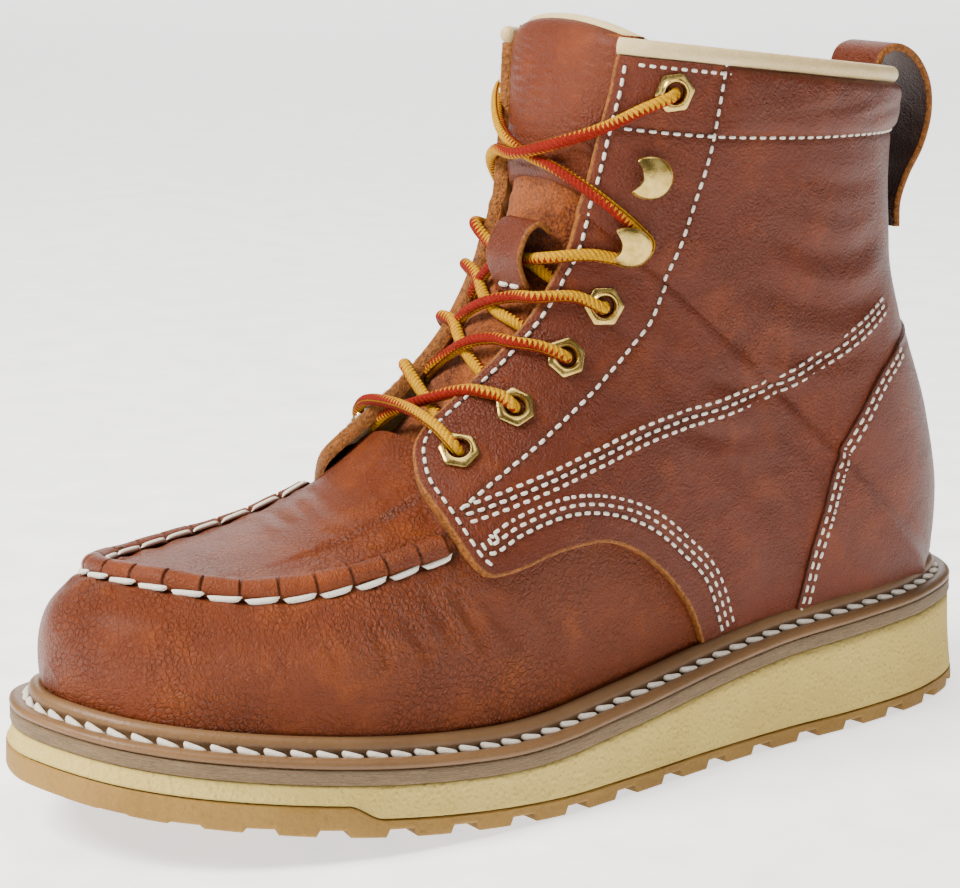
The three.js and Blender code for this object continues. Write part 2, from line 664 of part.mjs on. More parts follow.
// A tube of an elliptical section along points; up gives the section's height at each point
function tube(points, ups, halfWidth, halfHeight, segments = 6) {
  const rings = points.map((p, i) => {
    const along = points[Math.min(i + 1, points.length - 1)].clone()
      .sub(points[Math.max(i - 1, 0)]).normalize();
    const across = along.clone().cross(ups[i]).normalize();
    const up = across.clone().cross(along).normalize();
    return Array.from({ length: segments }, (_, k) => {
      const angle = 2 * Math.PI * (k + 0.5) / segments;
      return p.clone().addScaledVector(across, halfWidth * Math.cos(angle))
        .addScaledVector(up, halfHeight * Math.sin(angle));
    });
  });
  return solid(loft(rings));
}

function makeMocSeam() {
  const plan = new THREE.CatmullRomCurve3(
    seamPath.map((r) => new THREE.Vector3(r.across * ballWidth, r.at * soleLength, 0)), false, "centripetal");
  const hits = plan.getSpacedPoints(26).map((p) => onTop(p.x, p.y));
  const points = hits.map((hit) => hit.point.clone().addScaledVector(hit.normal, gap + 0.2 * seamHeight));
  const ridge = tube(points, hits.map((hit) => hit.normal), seamWidth / 2, seamHeight * 0.8);
  return ridge.subtract(underPanels);
}

// A frame on the stay: z out of the leather, y up the stay
function seat(sign, row) {
  const hit = onSide(panelSkin, sign, row.at * soleLength, row.high * collarHeight);
  const z = hit.normal;
  const up = new THREE.Vector3(0, 0.45, 1);
  const y = up.sub(z.clone().multiplyScalar(up.dot(z))).normalize();
  const x = y.clone().cross(z);
  const matrix = new THREE.Matrix4().makeBasis(x, y, z).setPosition(hit.point);
  return { matrix, point: hit.point, normal: z, up: y };
}
const seats = Object.fromEntries(Object.entries(bothSides)
  .map(([name, sign]) => [name, lacing.map((row) => ({ ...row, ...seat(sign, row) }))]));

function cylinder(radius, fromZ, toZ, segments, spin = 0) {
  const geometry = new THREE.CylinderGeometry(radius, radius, toZ - fromZ, segments);
  geometry.rotateX(Math.PI / 2);
  geometry.rotateZ(spin);
  geometry.translate(0, 0, (fromZ + toZ) / 2);
  return solid(geometry);
}
const placed = (body, matrix) => body.transform(matrix.elements.slice());

const barrelRadius = eyeletBore / 2 + barrelWall;
const boreSides = 8;
const flangeLift = gap + 0.5;
const boreRadius = (barrelRadius + gap) / Math.cos(Math.PI / boreSides);
const boreCut = (matrix) => placed(cylinder(boreRadius, -14, 6, boreSides), matrix);
const overPanel = formSolid(panelOuter + gap);

function makeEyelet(matrix) {
  const flange = cylinder(eyeletAcross / Math.sqrt(3), flangeLift, flangeLift + eyeletFlange, 6, Math.PI / 6);
  const barrel = cylinder(barrelRadius, -panelOuter - wall + gap, flangeLift + eyeletFlange, boreSides);
  const bore = cylinder(eyeletBore / 2, -20, 20, boreSides);
  return placed(flange.add(barrel).subtract(bore), matrix);
}

// A hook: a foot on the leather, a neck and a leaf with a hollow front edge
function makeHook(matrix, sign) {
  const neckHeight = laceDiameter + 0.4;
  const half = hookWidth / 2;
  const leaf = new THREE.Shape();
  leaf.moveTo(-0.42 * hookLength, -half);
  leaf.quadraticCurveTo(-0.2 * hookLength, 0, -0.42 * hookLength, half);
  leaf.absarc(0.06 * hookLength, 0, half, Math.PI / 2, -Math.PI / 2, true);
  const sheet = new THREE.ExtrudeGeometry(leaf, { depth: hookSheet, bevelEnabled: false, curveSegments: 5 });
  sheet.translate(0, 0, gap + hookSheet + neckHeight);
  const neck = new THREE.BoxGeometry(1.6, hookNeck, neckHeight + 0.4);
  neck.translate(-0.2 * hookLength, 0, gap + hookSheet + neckHeight / 2);
  const facing = (body) => placed(sign > 0 ? body : body.mirror([1, 0, 0]), matrix);
  return facing(cylinder(0.36 * hookWidth, -gap, gap + hookSheet, 8))
    .add(facing(solid(neck))).add(facing(solid(sheet))).subtract(overPanel);
}

function makePullLoop() {
  const top = collarHeight - collarDrop;
  const back = 0.393 * soleLength;
  const inner = back - wall - 3 * gap - loopThickness / 2;
  const outer = back + gap + cuffThickness + gap + loopThickness / 2;
  const line = [
    [inner - 0.9, top - 24], [inner - 0.6, top - 12], [inner - 0.2, top - 2], [inner + 2.2, top + 5.5],
    [inner + 8, top + 7.3], [inner + 14.5, top + 4.4], [inner + 19.8, top - 3], [inner + 21, top - 11.5],
    [inner + 18.4, top - 21], [outer + 4.4, top - 30], [outer + 1.4, top - 37.5], [outer + 1.2, top - 45],
  ];
  const centre = curved(line, 22);
  const outline = [...moved(centre, loopThickness / 2), ...moved(centre, -loopThickness / 2).reverse()];
  const leatherZone = formSolid(gap + backstayThickness + gap).subtract(innerForm(-wall - gap))
    .subtract(overCollar(gap));
  return prism(outline, -loopWidth / 2, loopWidth / 2).subtract(leatherZone);
}

const tongueGap = 0.6;
const tonguePress = 5;
const padStart = 0.66;
const padFull = 0.8;
const tongueGrow = (s) => {
  const share = Math.min(Math.max((s - padStart) / (padFull - padStart), 0), 1);
  return -wall - tongueGap - tongueThickness - (tonguePad - tongueThickness) * share;
};

// The laces press the tongue's front inwards, most at mid height
const pressed = (body) => body.warp((v) => {
  const low = 0.48 * collarHeight;
  const up = Math.min(Math.max((v[2] - low) / (0.95 * collarHeight - low), 0), 1);
  const across = Math.max(1 - (v[0] / (0.22 * ballWidth)) ** 2, 0);
  if (v[1] < 0.1 * soleLength) v[1] += tonguePress * Math.sin(Math.PI * up) ** 2 * across;
});
const tongueForm = pressed(innerForm(-wall - tongueGap));

function makeTongue() {
  const reach = curved(side([
    { at: -0.205, high: 0.33 }, { at: -0.11, high: 0.42 }, { at: -0.03, high: 0.51 }, { at: 0.03, high: 0.61 },
    { at: 0.075, high: 0.73 }, { at: 0.115, high: 0.86 }, { at: 0.145, high: 0.955 }, { at: 0.143, high: 0.99 },
    { at: 0.1, high: 1.02 }, { at: 0.03, high: 1.036 }, { at: -0.05, high: 1.04 },
  ]), 18);
  const front = side([{ at: -0.06, high: 0.8 }, { at: -0.205, high: 0.5 }]);
  return tongueForm.subtract(pressed(innerForm(tongueGrow))).intersect(prism([...reach, ...front]));
}

// Middle of the tongue's front at height z
const tongueSkin = skinOf(tongueForm);
const tongueFront = (z, x = 0) => meet(tongueSkin, new THREE.Vector3(x, -250, z), new THREE.Vector3(0, 1, 0));

function makeKeeper() {
  const [low, high] = [0.665 * collarHeight, 0.755 * collarHeight];
  const stand = laceDiameter * 2 + 1.2;
  const foot = [low, low + 3, high - 3, high].map((z) => tongueFront(z).point.y);
  const line = [
    [foot[0] - gap - keeperThickness / 2, low], [foot[1] - gap - keeperThickness, low + 3],
    [foot[1] - stand * 0.8, low + 5.5], [(foot[1] + foot[2]) / 2 - stand, (low + high) / 2],
    [foot[2] - stand * 0.8, high - 4.5], [foot[2] - gap - keeperThickness, high - 2],
    [foot[3] - gap - keeperThickness / 2, high + 1],
  ];
  const centre = curved(line, 18);
  const outline = [...moved(centre, keeperThickness / 2), ...moved(centre, -keeperThickness / 2).reverse()];
  return prism(outline, -keeperWidth / 2, keeperWidth / 2).subtract(pressed(innerForm(-wall - tongueGap + gap)));
}

// The lace. A bar runs over the throat from one stay to the other: share 0 to 1 runs from seat to
// seat, and extra is its height over the tongue or the leather, past the least that keeps it clear.
// Bars stop clear of the eyelets and hooks.
const laceRadius = laceDiameter / 2;
const throatDepth = 0.13 * soleLength;
function overThroat(from, to, { share, over, extra }) {
  const out = from.normal.clone().add(to.normal).normalize();
  const centre = from.point.clone().lerp(to.point, 0.5).addScaledVector(out, -throatDepth);
  const chord = from.point.clone().lerp(to.point, share);
  const hit = meet(over, centre, chord.sub(centre).normalize());
  return hit.point.clone().addScaledVector(hit.normal, laceRadius + 2 * gap + extra);
}
function bar(points) {
  const line = new THREE.CatmullRomCurve3(points, false, "centripetal").getSpacedPoints(8);
  return tube(line, line.map(() => new THREE.Vector3(0, -0.4, 1)), laceRadius, laceRadius);
}
const overBoth = [
  { share: 0.14, over: panelSkin, extra: 0 }, { share: 0.32, over: panelSkin, extra: 0.3 },
  { share: 0.5, over: panelSkin, extra: 0 }, { share: 0.68, over: panelSkin, extra: 0.3 },
  { share: 0.86, over: panelSkin, extra: 0 },
];
const fromUnder = [
  { share: 0.34, over: tongueSkin, extra: 0.2 }, { share: 0.5, over: tongueSkin, extra: 0.8 },
  { share: 0.62, over: tongueSkin, extra: 3.2 }, { share: 0.7, over: panelSkin, extra: 0.4 },
  { share: 0.78, over: panelSkin, extra: 0.9 }, { share: 0.86, over: panelSkin, extra: 0.3 },
];
const fromHook = [
  { share: 0.14, over: panelSkin, extra: 0.3 }, { share: 0.22, over: panelSkin, extra: 0.8 },
  { share: 0.33, over: panelSkin, extra: 0 }, { share: 0.5, over: panelSkin, extra: -2.5 },
  { share: 0.67, over: panelSkin, extra: 0 }, { share: 0.78, over: panelSkin, extra: 0.6 },
  { share: 0.86, over: panelSkin, extra: 0.1 },
];

// The rows of the lacing that each crossing joins. A lace leaves the first eyelets a little higher
// up the stay, arrives at the lower side of a hook's neck and leaves from its upper side.
const crossings = [
  { low: 0, leave: 9, high: 1, arrive: 0, path: fromUnder },
  { low: 1, leave: 0, high: 2, arrive: 0, path: fromUnder },
  { low: 2, leave: -2, high: 3, arrive: -2, path: fromUnder },
  { low: 3, leave: 1, high: 4, arrive: -hookNeck / 2, path: fromUnder },
  { low: 4, leave: hookNeck / 2, high: 6, arrive: 0, path: fromHook },
];
const raised = (place, rise) => ({ ...place, point: place.point.clone().addScaledVector(place.up, rise) });
function crossing({ low, leave, high, arrive, path }) {
  const { lateral, medial } = seats;
  const ends = [[medial, lateral], [lateral, medial]]
    .map(([here, there]) => [raised(here[low], leave), raised(there[high], arrive)]);
  const lines = ends.map(([from, to]) => path.map((row) => overThroat(from, to, row)));
  const middle = path.findIndex((row) => row.share === 0.5);
  const meeting = lines[0][middle].clone().lerp(lines[1][middle], 0.5);
  lines.forEach((line) => line[middle].copy(meeting));
  return bar(lines[0]).add(bar(lines[1]));
}

const boot = new THREE.Group();
function put(name, body, material) {
  const mesh = body.getMesh();
  const geometry = new THREE.BufferGeometry();
  geometry.setAttribute("position", new THREE.BufferAttribute(new Float32Array(mesh.vertProperties), 3));
  geometry.setIndex(new THREE.BufferAttribute(new Uint32Array(mesh.triVerts), 1));
  geometry.computeVertexNormals();
  const piece = new THREE.Mesh(geometry, material);
  piece.name = name;
  boot.add(piece);
  return piece;
}

const bores = Object.values(seats).flat().filter((row) => row.kind === "eyelet").map((row) => boreCut(row.matrix));
const bored = (body) => bores.reduce((rest, bore) => rest.subtract(bore), body);

put("outsole", makeOutsole(), materials.tread);
put("wedge", makeWedge(), materials.wedge);
put("midsole", makeMidsole(), materials.strip);
put("welt", makeWelt(), materials.welt);
put("insole", insoleForm(0), materials.insole);
put("upper", bored(makeUpper()), materials.vamp);
put("moc_seam", makeMocSeam(), materials.vamp);
Object.entries(bothSides).forEach(([name, sign]) => {
  put(`quarter_${name}`, bored(makeQuarter(sign)), materials.quarter);
  put(`counter_${name}`, makeCounter(sign), materials.quarter);
});
put("cuff", makeCuff(), materials.cuff);
put("backstay", makeBackstay(), materials.quarter);
put("pull_loop", makePullLoop(), materials.cuff);
put("tongue", makeTongue(), materials.tongue);
put("lace_keeper", makeKeeper(), materials.tongue);
Object.entries(bothSides).forEach(([name, sign]) => {
  seats[name].forEach((row, i) => {
    if (row.kind === "eyelet") put(`eyelet_${name}_${i + 1}`, makeEyelet(row.matrix), materials.brass);
    else put(`hook_${name}_${i + 1}`, makeHook(row.matrix, sign), materials.brass);
  });
});
put("lace_1", bar(overBoth.map((row) => overThroat(seats.lateral[0], seats.medial[0], row))), materials.lace);
crossings.forEach((row, i) => put(`lace_${i + 2}`, crossing(row), materials.lace));

// The origin is under the middle of the boot's box
const box = new THREE.Box3().setFromObject(boot);
const middle = box.getCenter(new THREE.Vector3());
boot.position.set(-middle.x, -middle.y, 0);
const part = new THREE.Group();
part.add(boot);
part.updateMatrixWorld(true);

export default part;
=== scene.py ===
import math
import bpy
import numpy as np
from mathutils import Matrix, Vector


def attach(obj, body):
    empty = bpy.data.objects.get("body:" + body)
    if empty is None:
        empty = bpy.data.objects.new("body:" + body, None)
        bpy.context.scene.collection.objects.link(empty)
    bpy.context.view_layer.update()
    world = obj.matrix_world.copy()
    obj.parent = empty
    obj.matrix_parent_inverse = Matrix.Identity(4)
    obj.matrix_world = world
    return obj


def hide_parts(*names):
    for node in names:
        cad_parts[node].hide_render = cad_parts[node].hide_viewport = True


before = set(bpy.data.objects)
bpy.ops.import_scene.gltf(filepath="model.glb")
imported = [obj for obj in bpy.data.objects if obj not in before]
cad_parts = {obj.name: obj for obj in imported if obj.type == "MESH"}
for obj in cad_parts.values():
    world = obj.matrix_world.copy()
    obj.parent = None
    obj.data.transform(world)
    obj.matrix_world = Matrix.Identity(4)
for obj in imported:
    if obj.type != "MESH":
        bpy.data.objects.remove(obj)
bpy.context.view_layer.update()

print("frame loaded")

# All shapes are worked out in millimetres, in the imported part's own frame, and scaled once in makePiece
mm = 0.001

# Sizes that the solids were made with
boot = {
    "soleLength": 304, "ballWidth": 108.5, "heelHeight": 32.6, "toeSpring": 16.9, "springStart": 0.56,
    "springPower": 1.6, "footInset": 10.3, "sink": 3, "collarHeight": 199, "collarDrop": 14.5,
        "collarLean": 115,
    "gap": 0.3, "wall": 2.2, "panel": 1.5, "counter": 2.0, "cuff": 2.5, "backstay": 3.0,
    "tongueGap": 0.6, "tonguePress": 5.0,
}
length, width, collar = boot["soleLength"], boot["ballWidth"], boot["collarHeight"]
heelY = length / 2
panelLift = boot["gap"] + boot["panel"]
counterLift = boot["gap"] + boot["counter"]
tongueLift = -boot["wall"] - boot["tongueGap"]

# Sole edge: share of the length from the heel, lateral and medial half widths as shares of the ball width
soleOutline = np.array([
    [0.0, -0.028, -0.028], [0.025, 0.152, -0.194], [0.1, 0.282, -0.319], [0.2, 0.341, -0.356],
    [0.3, 0.362, -0.346], [0.4, 0.399, -0.336], [0.5, 0.45, -0.369], [0.6, 0.49, -0.433],
    [0.7, 0.4995, -0.4885], [0.78, 0.479, -0.502], [0.86, 0.415, -0.47], [0.93, 0.3115, -0.387],
    [0.975, 0.1705, -0.2765], [1.0, -0.074, -0.074]])
soleThickness = np.array([[0.0, 1.0], [0.25, 0.93], [0.5, 0.681], [0.65, 0.549], [0.8, 0.534],
                          [1.0, 0.497]])

# The last's stations, toe first, with the same columns as the part's own table
stationColumns = ["front", "high", "crest", "back", "climb", "foot", "lateral", "medial", "widest", "full",
                  "low"]
stations = np.array([
    [-0.4757, 0.231, -0.065, -0.4645, 0, 1, 0.0055, 0.0055, 0.45, 2.0, 1.0],
    [-0.471, 0.276, -0.065, -0.4605, 0, 1, 0.026, 0.026, 0.44, 2.0, 1.0],
    [-0.456, 0.3115, -0.065, -0.449, 0, 1, 0.033, 0.035, 0.43, 2.05, 1.0],
    [-0.4275, 0.3355, -0.065, -0.426, 0, 1, 0.035, 0.0385, 0.42, 2.1, 1.0],
    [-0.3865, 0.353, -0.065, -0.39, 0, 1, 0.033, 0.037, 0.42, 2.15, 1.0],
    [-0.332, 0.369, -0.065, -0.3435, 0, 1, 0.0295, 0.0295, 0.4, 2.15, 1.0],
    [-0.276, 0.392, -0.065, -0.283, 0, 1, 0.0275, 0.0275, 0.36, 2.12, 1.0],
    [-0.22, 0.427, -0.055, -0.214, 0, 1, 0.024, 0.024, 0.32, 2.1, 1.0],
    [-0.168, 0.475, -0.046, -0.138, 0, 1, 0.022, 0.022, 0.28, 2.1, 1.0],
    [-0.1217, 0.53, -0.037, -0.0525, 0, 1, 0.024, 0.026, 0.27, 2.1, 1.0],
    [-0.082, 0.593, -0.028, 0.046, 0, 1, 0.0315, 0.037, 0.27, 2.2, 1.0],
    [-0.0543, 0.656, -0.018, 0.1645, 0, 1, 0.0425, 0.046, 0.3, 2.35, 1.0],
    [-0.036, 0.716, -0.009, 0.296, 0, 1, 0.048, 0.048, 0.34, 2.5, 1.1],
    [-0.0247, 0.764, 0, 0.4015, 0, 1, 0.1145, 0.1015, 0.38, 2.7, 1.5],
    [-0.0178, 0.794, 0, 0.449, 0, 1, 0.203, 0.187, 0.41, 2.75, 1.9],
    [-0.013, 0.819, 0, 0.464, 0.03, 0.2, 0.296, 0.296, 0.43, 2.8, 2.0],
    [-0.0072, 0.849, 0, 0.4655, 0.1105, 0, 0.311, 0.311, 0.45, 2.9, 2.0],
    [-0.0013, 0.8845, 0, 0.4505, 0.231, 0, 0.3135, 0.3135, 0.47, 3.0, 2.0],
    [0.004, 0.917, 0, 0.418, 0.362, 0, 0.3225, 0.318, 0.48, 3.05, 2.0],
    [0.0092, 0.95, 0, 0.393, 0.5025, 0, 0.332, 0.327, 0.49, 3.15, 2.0],
    [0.0138, 0.9775, 0, 0.388, 0.643, 0, 0.341, 0.3365, 0.5, 3.2, 2.0],
    [0.0178, 1.0075, 0, 0.393, 0.7715, 0, 0.35, 0.3455, 0.5, 3.3, 2.0],
    [0.0263, 1.07, 0, 0.3997, 0.844, 0, 0.356, 0.351, 0.5, 3.3, 2.0]
])

# Outlines of the panels in side view: shares of the sole's length from the middle, and of the collar's height
stayFront = np.array([
    [-0.1612, 0.4553], [-0.1503, 0.4764], [-0.1003, 0.5387], [-0.0609, 0.5945], [-0.0263, 0.6578],
    [0.0007, 0.7362], [0.0148, 0.8236], [0.0257, 0.9106], [0.0339, 0.99]])
stayFoot = np.array([[-0.1681, 0.4302], [-0.1648, 0.4005], [-0.1592, 0.3698], [-0.1507, 0.3397],
                     [-0.1418, 0.3256]])
archLine = np.array([
    [-0.1336, 0.3221], [-0.1053, 0.3256], [-0.0579, 0.3387], [-0.0059, 0.3382], [0.0283, 0.3171],
    [0.0635, 0.2759], [0.0928, 0.2216], [0.1115, 0.1628], [0.12, 0.115]])
cuffLine = np.array([[0.1125, 0.8734], [0.2109, 0.8638], [0.38, 0.853]])
counterLine = np.array([
    [0.3566, 0.5482], [0.322, 0.512], [0.2955, 0.464], [0.2765, 0.41], [0.2625, 0.35], [0.2505, 0.29],
    [0.2385, 0.232], [0.229, 0.175]])
seamPath = np.array([
    [0.3275, -0.1661], [0.3145, -0.21], [0.2985, -0.2513], [0.2545, -0.3109], [0.1825, -0.3582],
    [0.0745, -0.3934], [-0.058, -0.4132], [-0.17, -0.4112], [-0.258, -0.3898], [-0.3226, -0.3322],
    [-0.3548, -0.2632], [-0.3318, -0.1974], [-0.3052, -0.1661]])
lacing = [
    ("eyelet", -0.127, 0.4688), ("eyelet", -0.0717, 0.5201), ("eyelet", -0.0188, 0.5809), ("eyelet", 0.0227,
            0.6472),
    ("hook", 0.048, 0.7347), ("hook", 0.0579, 0.8231), ("eyelet", 0.0734, 0.9347)]
sides = {"lateral": 1, "medial": -1}


# Camera: the photograph's angle, distance and framing
camera = {"azimuth": 55.79, "elevation": 12.14, "place": (0.6410, -0.4523, 0.2561), "lens": 108.75}


def placeCamera():
    az, el = math.radians(camera["azimuth"]), math.radians(camera["elevation"])
    back = Vector((math.sin(az) * math.cos(el), -math.cos(az) * math.cos(el), math.sin(el)))
    right = Vector((math.cos(az), math.sin(az), 0))
    up = back.cross(right)
    data = bpy.data.cameras.new("camera")
    data.lens, data.sensor_width = camera["lens"], 36
    data.clip_start, data.clip_end = 0.01, 50
    item = bpy.data.objects.new("camera", data)
    turn = Matrix((right, up, back)).transposed()
    item.matrix_world = Matrix.Translation(camera["place"]) @ turn.to_4x4()
    bpy.context.scene.collection.objects.link(item)
    bpy.context.scene.camera = item


placeCamera()
print("camera placed")


# A cubic through the rows whose slopes never overshoot, as a function of a whole array
def smoothTable(xs, ys):
    xs, ys = np.asarray(xs, float), np.asarray(ys, float)
    step = np.diff(xs)
    rise = np.diff(ys) / step
    before, after = 2 * step[1:] + step[:-1], step[1:] + 2 * step[:-1]
    same = rise[:-1] * rise[1:] > 0
    safe = np.where(same, rise[:-1], 1), np.where(same, rise[1:], 1)
    slope = np.empty_like(ys)
    slope[0], slope[-1] = rise[0], rise[-1]
    slope[1:-1] = np.where(same, (before + after) / (before / safe[0] + after / safe[1]), 0)

    def value(x):
        i = np.clip(np.searchsorted(xs, x, side="right") - 1, 0, len(xs) - 2)
        t = np.clip((x - xs[i]) / step[i], 0, 1)
        u = 1 - t
        return (ys[i] * u * u * (1 + 2 * t) + ys[i + 1] * t * t * (3 - 2 * t)
                + step[i] * t * u * (slope[i] * u - slope[i + 1] * t))
    return value


# Centripetal curve through points: between two points a cubic whose end slopes weigh the
# neighbours by the square roots of their distances
def throughPoints(points, count, closed=False):
    p = np.asarray(points, float)
    n = len(p)
    if closed:
        at = np.arange(count) / count * n
        seg = np.floor(at).astype(int) % n
        w = (at - np.floor(at))[:, None]
        p0, p1, p2, p3 = p[(seg - 1) % n], p[seg], p[(seg + 1) % n], p[(seg + 2) % n]
    else:
        at = np.linspace(0, n - 1, count)
        seg = np.minimum(np.floor(at).astype(int), n - 2)
        w = (at - seg)[:, None]
        q = np.vstack([2 * p[0] - p[1], p, 2 * p[-1] - p[-2]])
        p0, p1, p2, p3 = q[seg], q[seg + 1], q[seg + 2], q[seg + 3]
    span = lambda a, b: np.maximum(np.linalg.norm(b - a, axis=1), 1e-9)[:, None] ** 0.5
    d0, d1, d2 = span(p0, p1), span(p1, p2), span(p2, p3)
    m1 = ((p1 - p0) / d0 - (p2 - p0) / (d0 + d1) + (p2 - p1) / d1) * d1
    m2 = ((p2 - p1) / d1 - (p3 - p1) / (d1 + d2) + (p3 - p2) / d2) * d1
    return (p1 + m1 * w + (3 * (p2 - p1) - 2 * m1 - m2) * w ** 2 + (2 * (p1 - p2) + m1 + m2) * w ** 3)


# Points spread evenly along a line, a chosen number of them
def evenly(points, count):
    run = np.concatenate([[0], np.cumsum(np.linalg.norm(np.diff(points, axis=0), axis=1))])
    at = np.linspace(0, run[-1], count)
    return np.stack([np.interp(at, run, points[:, c]) for c in range(points.shape[1])], 1)


outlinePoints = np.vstack([
    np.stack([soleOutline[:, 1] * width, heelY - soleOutline[:, 0] * length], 1),
    np.stack([soleOutline[1:-1, 2] * width, heelY - soleOutline[1:-1, 0] * length], 1)[::-1]])
outlineFine = throughPoints(outlinePoints, 2600, closed=True)
outlineRun = np.concatenate([[0], np.cumsum(np.linalg.norm(np.diff(outlineFine, axis=0,
        append=outlineFine[:1]), axis=1))])
outlineAlong = np.roll(outlineFine, -1, 0) - np.roll(outlineFine, 1, 0)
outlineAlong /= np.linalg.norm(outlineAlong, axis=1)[:, None]
soleRound = outlineRun[-1]


# The sole's edge in plan at run millimetres from the heel, lateral side first, moved inwards by inset
def soleEdge(run, inset=0.0):
    where = np.mod(run, soleRound)
    closed = np.vstack([outlineFine, outlineFine[:1]])
    along = np.vstack([outlineAlong, outlineAlong[:1]])
    p = np.stack([np.interp(where, outlineRun, closed[:, c]) for c in (0, 1)], -1)
    d = np.stack([np.interp(where, outlineRun, along[:, c]) for c in (0, 1)], -1)
    return p[..., 0] + d[..., 1] * inset, p[..., 1] - d[..., 0] * inset


soleThick = smoothTable(soleThickness[:, 0], soleThickness[:, 1] * boot["heelHeight"])


def floorRise(y):
    share = np.clip((heelY - y) / length, 0, 1)
    return boot["toeSpring"] * np.maximum((share - boot["springStart"]) / (1 - boot["springStart"]),
                                          0) ** boot["springPower"]


def soleTop(y):
    return soleThick(np.clip((heelY - y) / length, 0, 1)) + floorRise(y)


footX, footY = soleEdge(np.linspace(0, soleRound, 1441)[:-1], boot["footInset"])
toeAt, heelAt = int(np.argmin(footY)), int(np.argmax(footY))
footToe, footHeel = footY[toeAt], footY[heelAt]
lateralBranch = np.arange(0 if heelAt > 700 else heelAt, toeAt + 1)
medialBranch = np.arange(toeAt, len(footY) if heelAt < 700 else heelAt + 1)


# The two sides of the footprint at y
def footSides(y):
    at = np.clip(y, footToe + 0.01, footHeel - 0.01)
    lat = np.interp(at, footY[lateralBranch][::-1], footX[lateralBranch][::-1])
    med = np.interp(at, footY[medialBranch], footX[medialBranch])
    return lat, med


station = {key: smoothTable(np.linspace(0, 1, len(stations)), stations[:, i]) for i,
           key in enumerate(stationColumns)}
lastGrid = {"rows": 521, "half": 90}


# Half a ring: an arc from the footprint's edge out to the widest place, then a superellipse to the crest,
# spread evenly along its own length. The second column is the share up the station's line.
def halfRing(foot, out, v, height):
    u = np.linspace(0, 1, 60, endpoint=False)
    low = np.stack([foot + (out - foot) * (1 - (1 - u) ** 2) ** (1 / v["low"]), u * v["widest"]], 1)
    a = np.linspace(0, np.pi / 2, 140)
    crest = v["crest"] * width
    c, s = np.clip(np.cos(a), 0, 1), np.clip(np.sin(a), 0, 1)
    top = np.stack([crest + (out - crest) * c ** (2 / v["full"]),
                    v["widest"] + (1 - v["widest"]) * s ** (2 / v["full"])], 1)
    p = np.vstack([low, top])
    run = np.concatenate([[0], np.cumsum(np.hypot(np.diff(p[:, 0]), np.diff(p[:, 1]) * height))])
    at = np.linspace(0, run[-1], lastGrid["half"] + 1)
    return np.stack([np.interp(at, run, p[:, 0]), np.interp(at, run, p[:, 1])], 1)


# The last: ring after ring from the toe to above the collar. Column 0 is the medial foot edge,
# the middle column the crest, the last column the lateral foot edge or the heel's back.
def buildLast():
    rows, half = lastGrid["rows"], lastGrid["half"]
    points = np.empty((rows, 2 * half + 1, 3))
    shares = np.empty((rows, 2 * half + 1))
    lines = np.empty((rows, 4))
    for i, s in enumerate(np.linspace(0, 1, rows)):
        v = {key: float(f(s)) for key, f in station.items()}
        front = np.array([v["front"] * length, v["high"] * collar])
        backY = v["back"] * length
        back = np.array([backY, soleTop(np.clip(backY, footToe,
                                                footHeel)) + v["climb"] * collar - boot["sink"] * v["foot"]])
        lat, med = footSides(backY)
        middle = (lat + med) / 2 * v["foot"]
        footLat, footMed = max(lat * v["foot"], middle + 0.4), min(med * v["foot"], middle - 0.4)
        height = np.hypot(*(front - back))
        up = halfRing(footLat, footLat + v["lateral"] * width, v, height)
        down = halfRing(footMed, footMed - v["medial"] * width, v, height)
        ring = np.vstack([down, up[::-1][1:]])
        points[i, :, 0] = ring[:, 0]
        points[i, :, 1:] = back + (front - back) * ring[:, 1:]
        shares[i] = ring[:, 1]
        lines[i] = [*back, *front]
    du, dv = np.gradient(points, axis=0), np.gradient(points, axis=1)
    normals = np.cross(du, dv)
    normals /= np.maximum(np.linalg.norm(normals, axis=2), 1e-9)[:, :, None]
    probe = points[rows // 2, -20] - points[rows // 2].mean(0)
    if np.dot(normals[rows // 2, -20], probe) < 0:
        normals = -normals
    # at the heel's corners the foot is drawn in, so that the welt's bead stays clear of it
    high = points[..., 2] - soleTop(points[..., 1])
    draw = 2.0 * np.exp(-((points[..., 1] / length - 0.405) / 0.05) ** 2) * np.clip((9 - high) / 6, 0, 1)
    points[..., :2] -= normals[..., :2] * draw[..., None]
    return points, normals, shares, lines


lastPoints, lastNormals, lastShares, lastLines = buildLast()
print("last built")


# Bilinear look-up in the last's grid: s is 0 at the toe and 1 above the collar,
# v is -1 at the medial edge, 0 at the crest and 1 at the lateral edge
def lookUp(grid, s, v):
    rows, half = lastGrid["rows"] - 1, lastGrid["half"]
    a = np.clip(s * rows, 0, rows - 1e-6)
    b = np.clip((v + 1) * half, 0, 2 * half - 1e-6)
    i, j = a.astype(int), b.astype(int)
    fa, fb = (a - i)[..., None], (b - j)[..., None]
    return ((grid[i, j] * (1 - fa) + grid[i + 1, j] * fa) * (1 - fb)
            + (grid[i, j + 1] * (1 - fa) + grid[i + 1, j + 1] * fa) * fb)


def onLast(s, v, lift=0.0):
    s, v = np.broadcast_arrays(np.asarray(s, float), np.asarray(v, float))
    normal = lookUp(lastNormals, s, v)
    normal /= np.maximum(np.linalg.norm(normal, axis=-1), 1e-9)[..., None]
    return lookUp(lastPoints, s, v) + normal * np.asarray(lift)[..., None]


def normalAt(s, v):
    n = lookUp(lastNormals, np.asarray(s, float), np.asarray(v, float))
    return n / np.linalg.norm(n, axis=-1)[..., None]


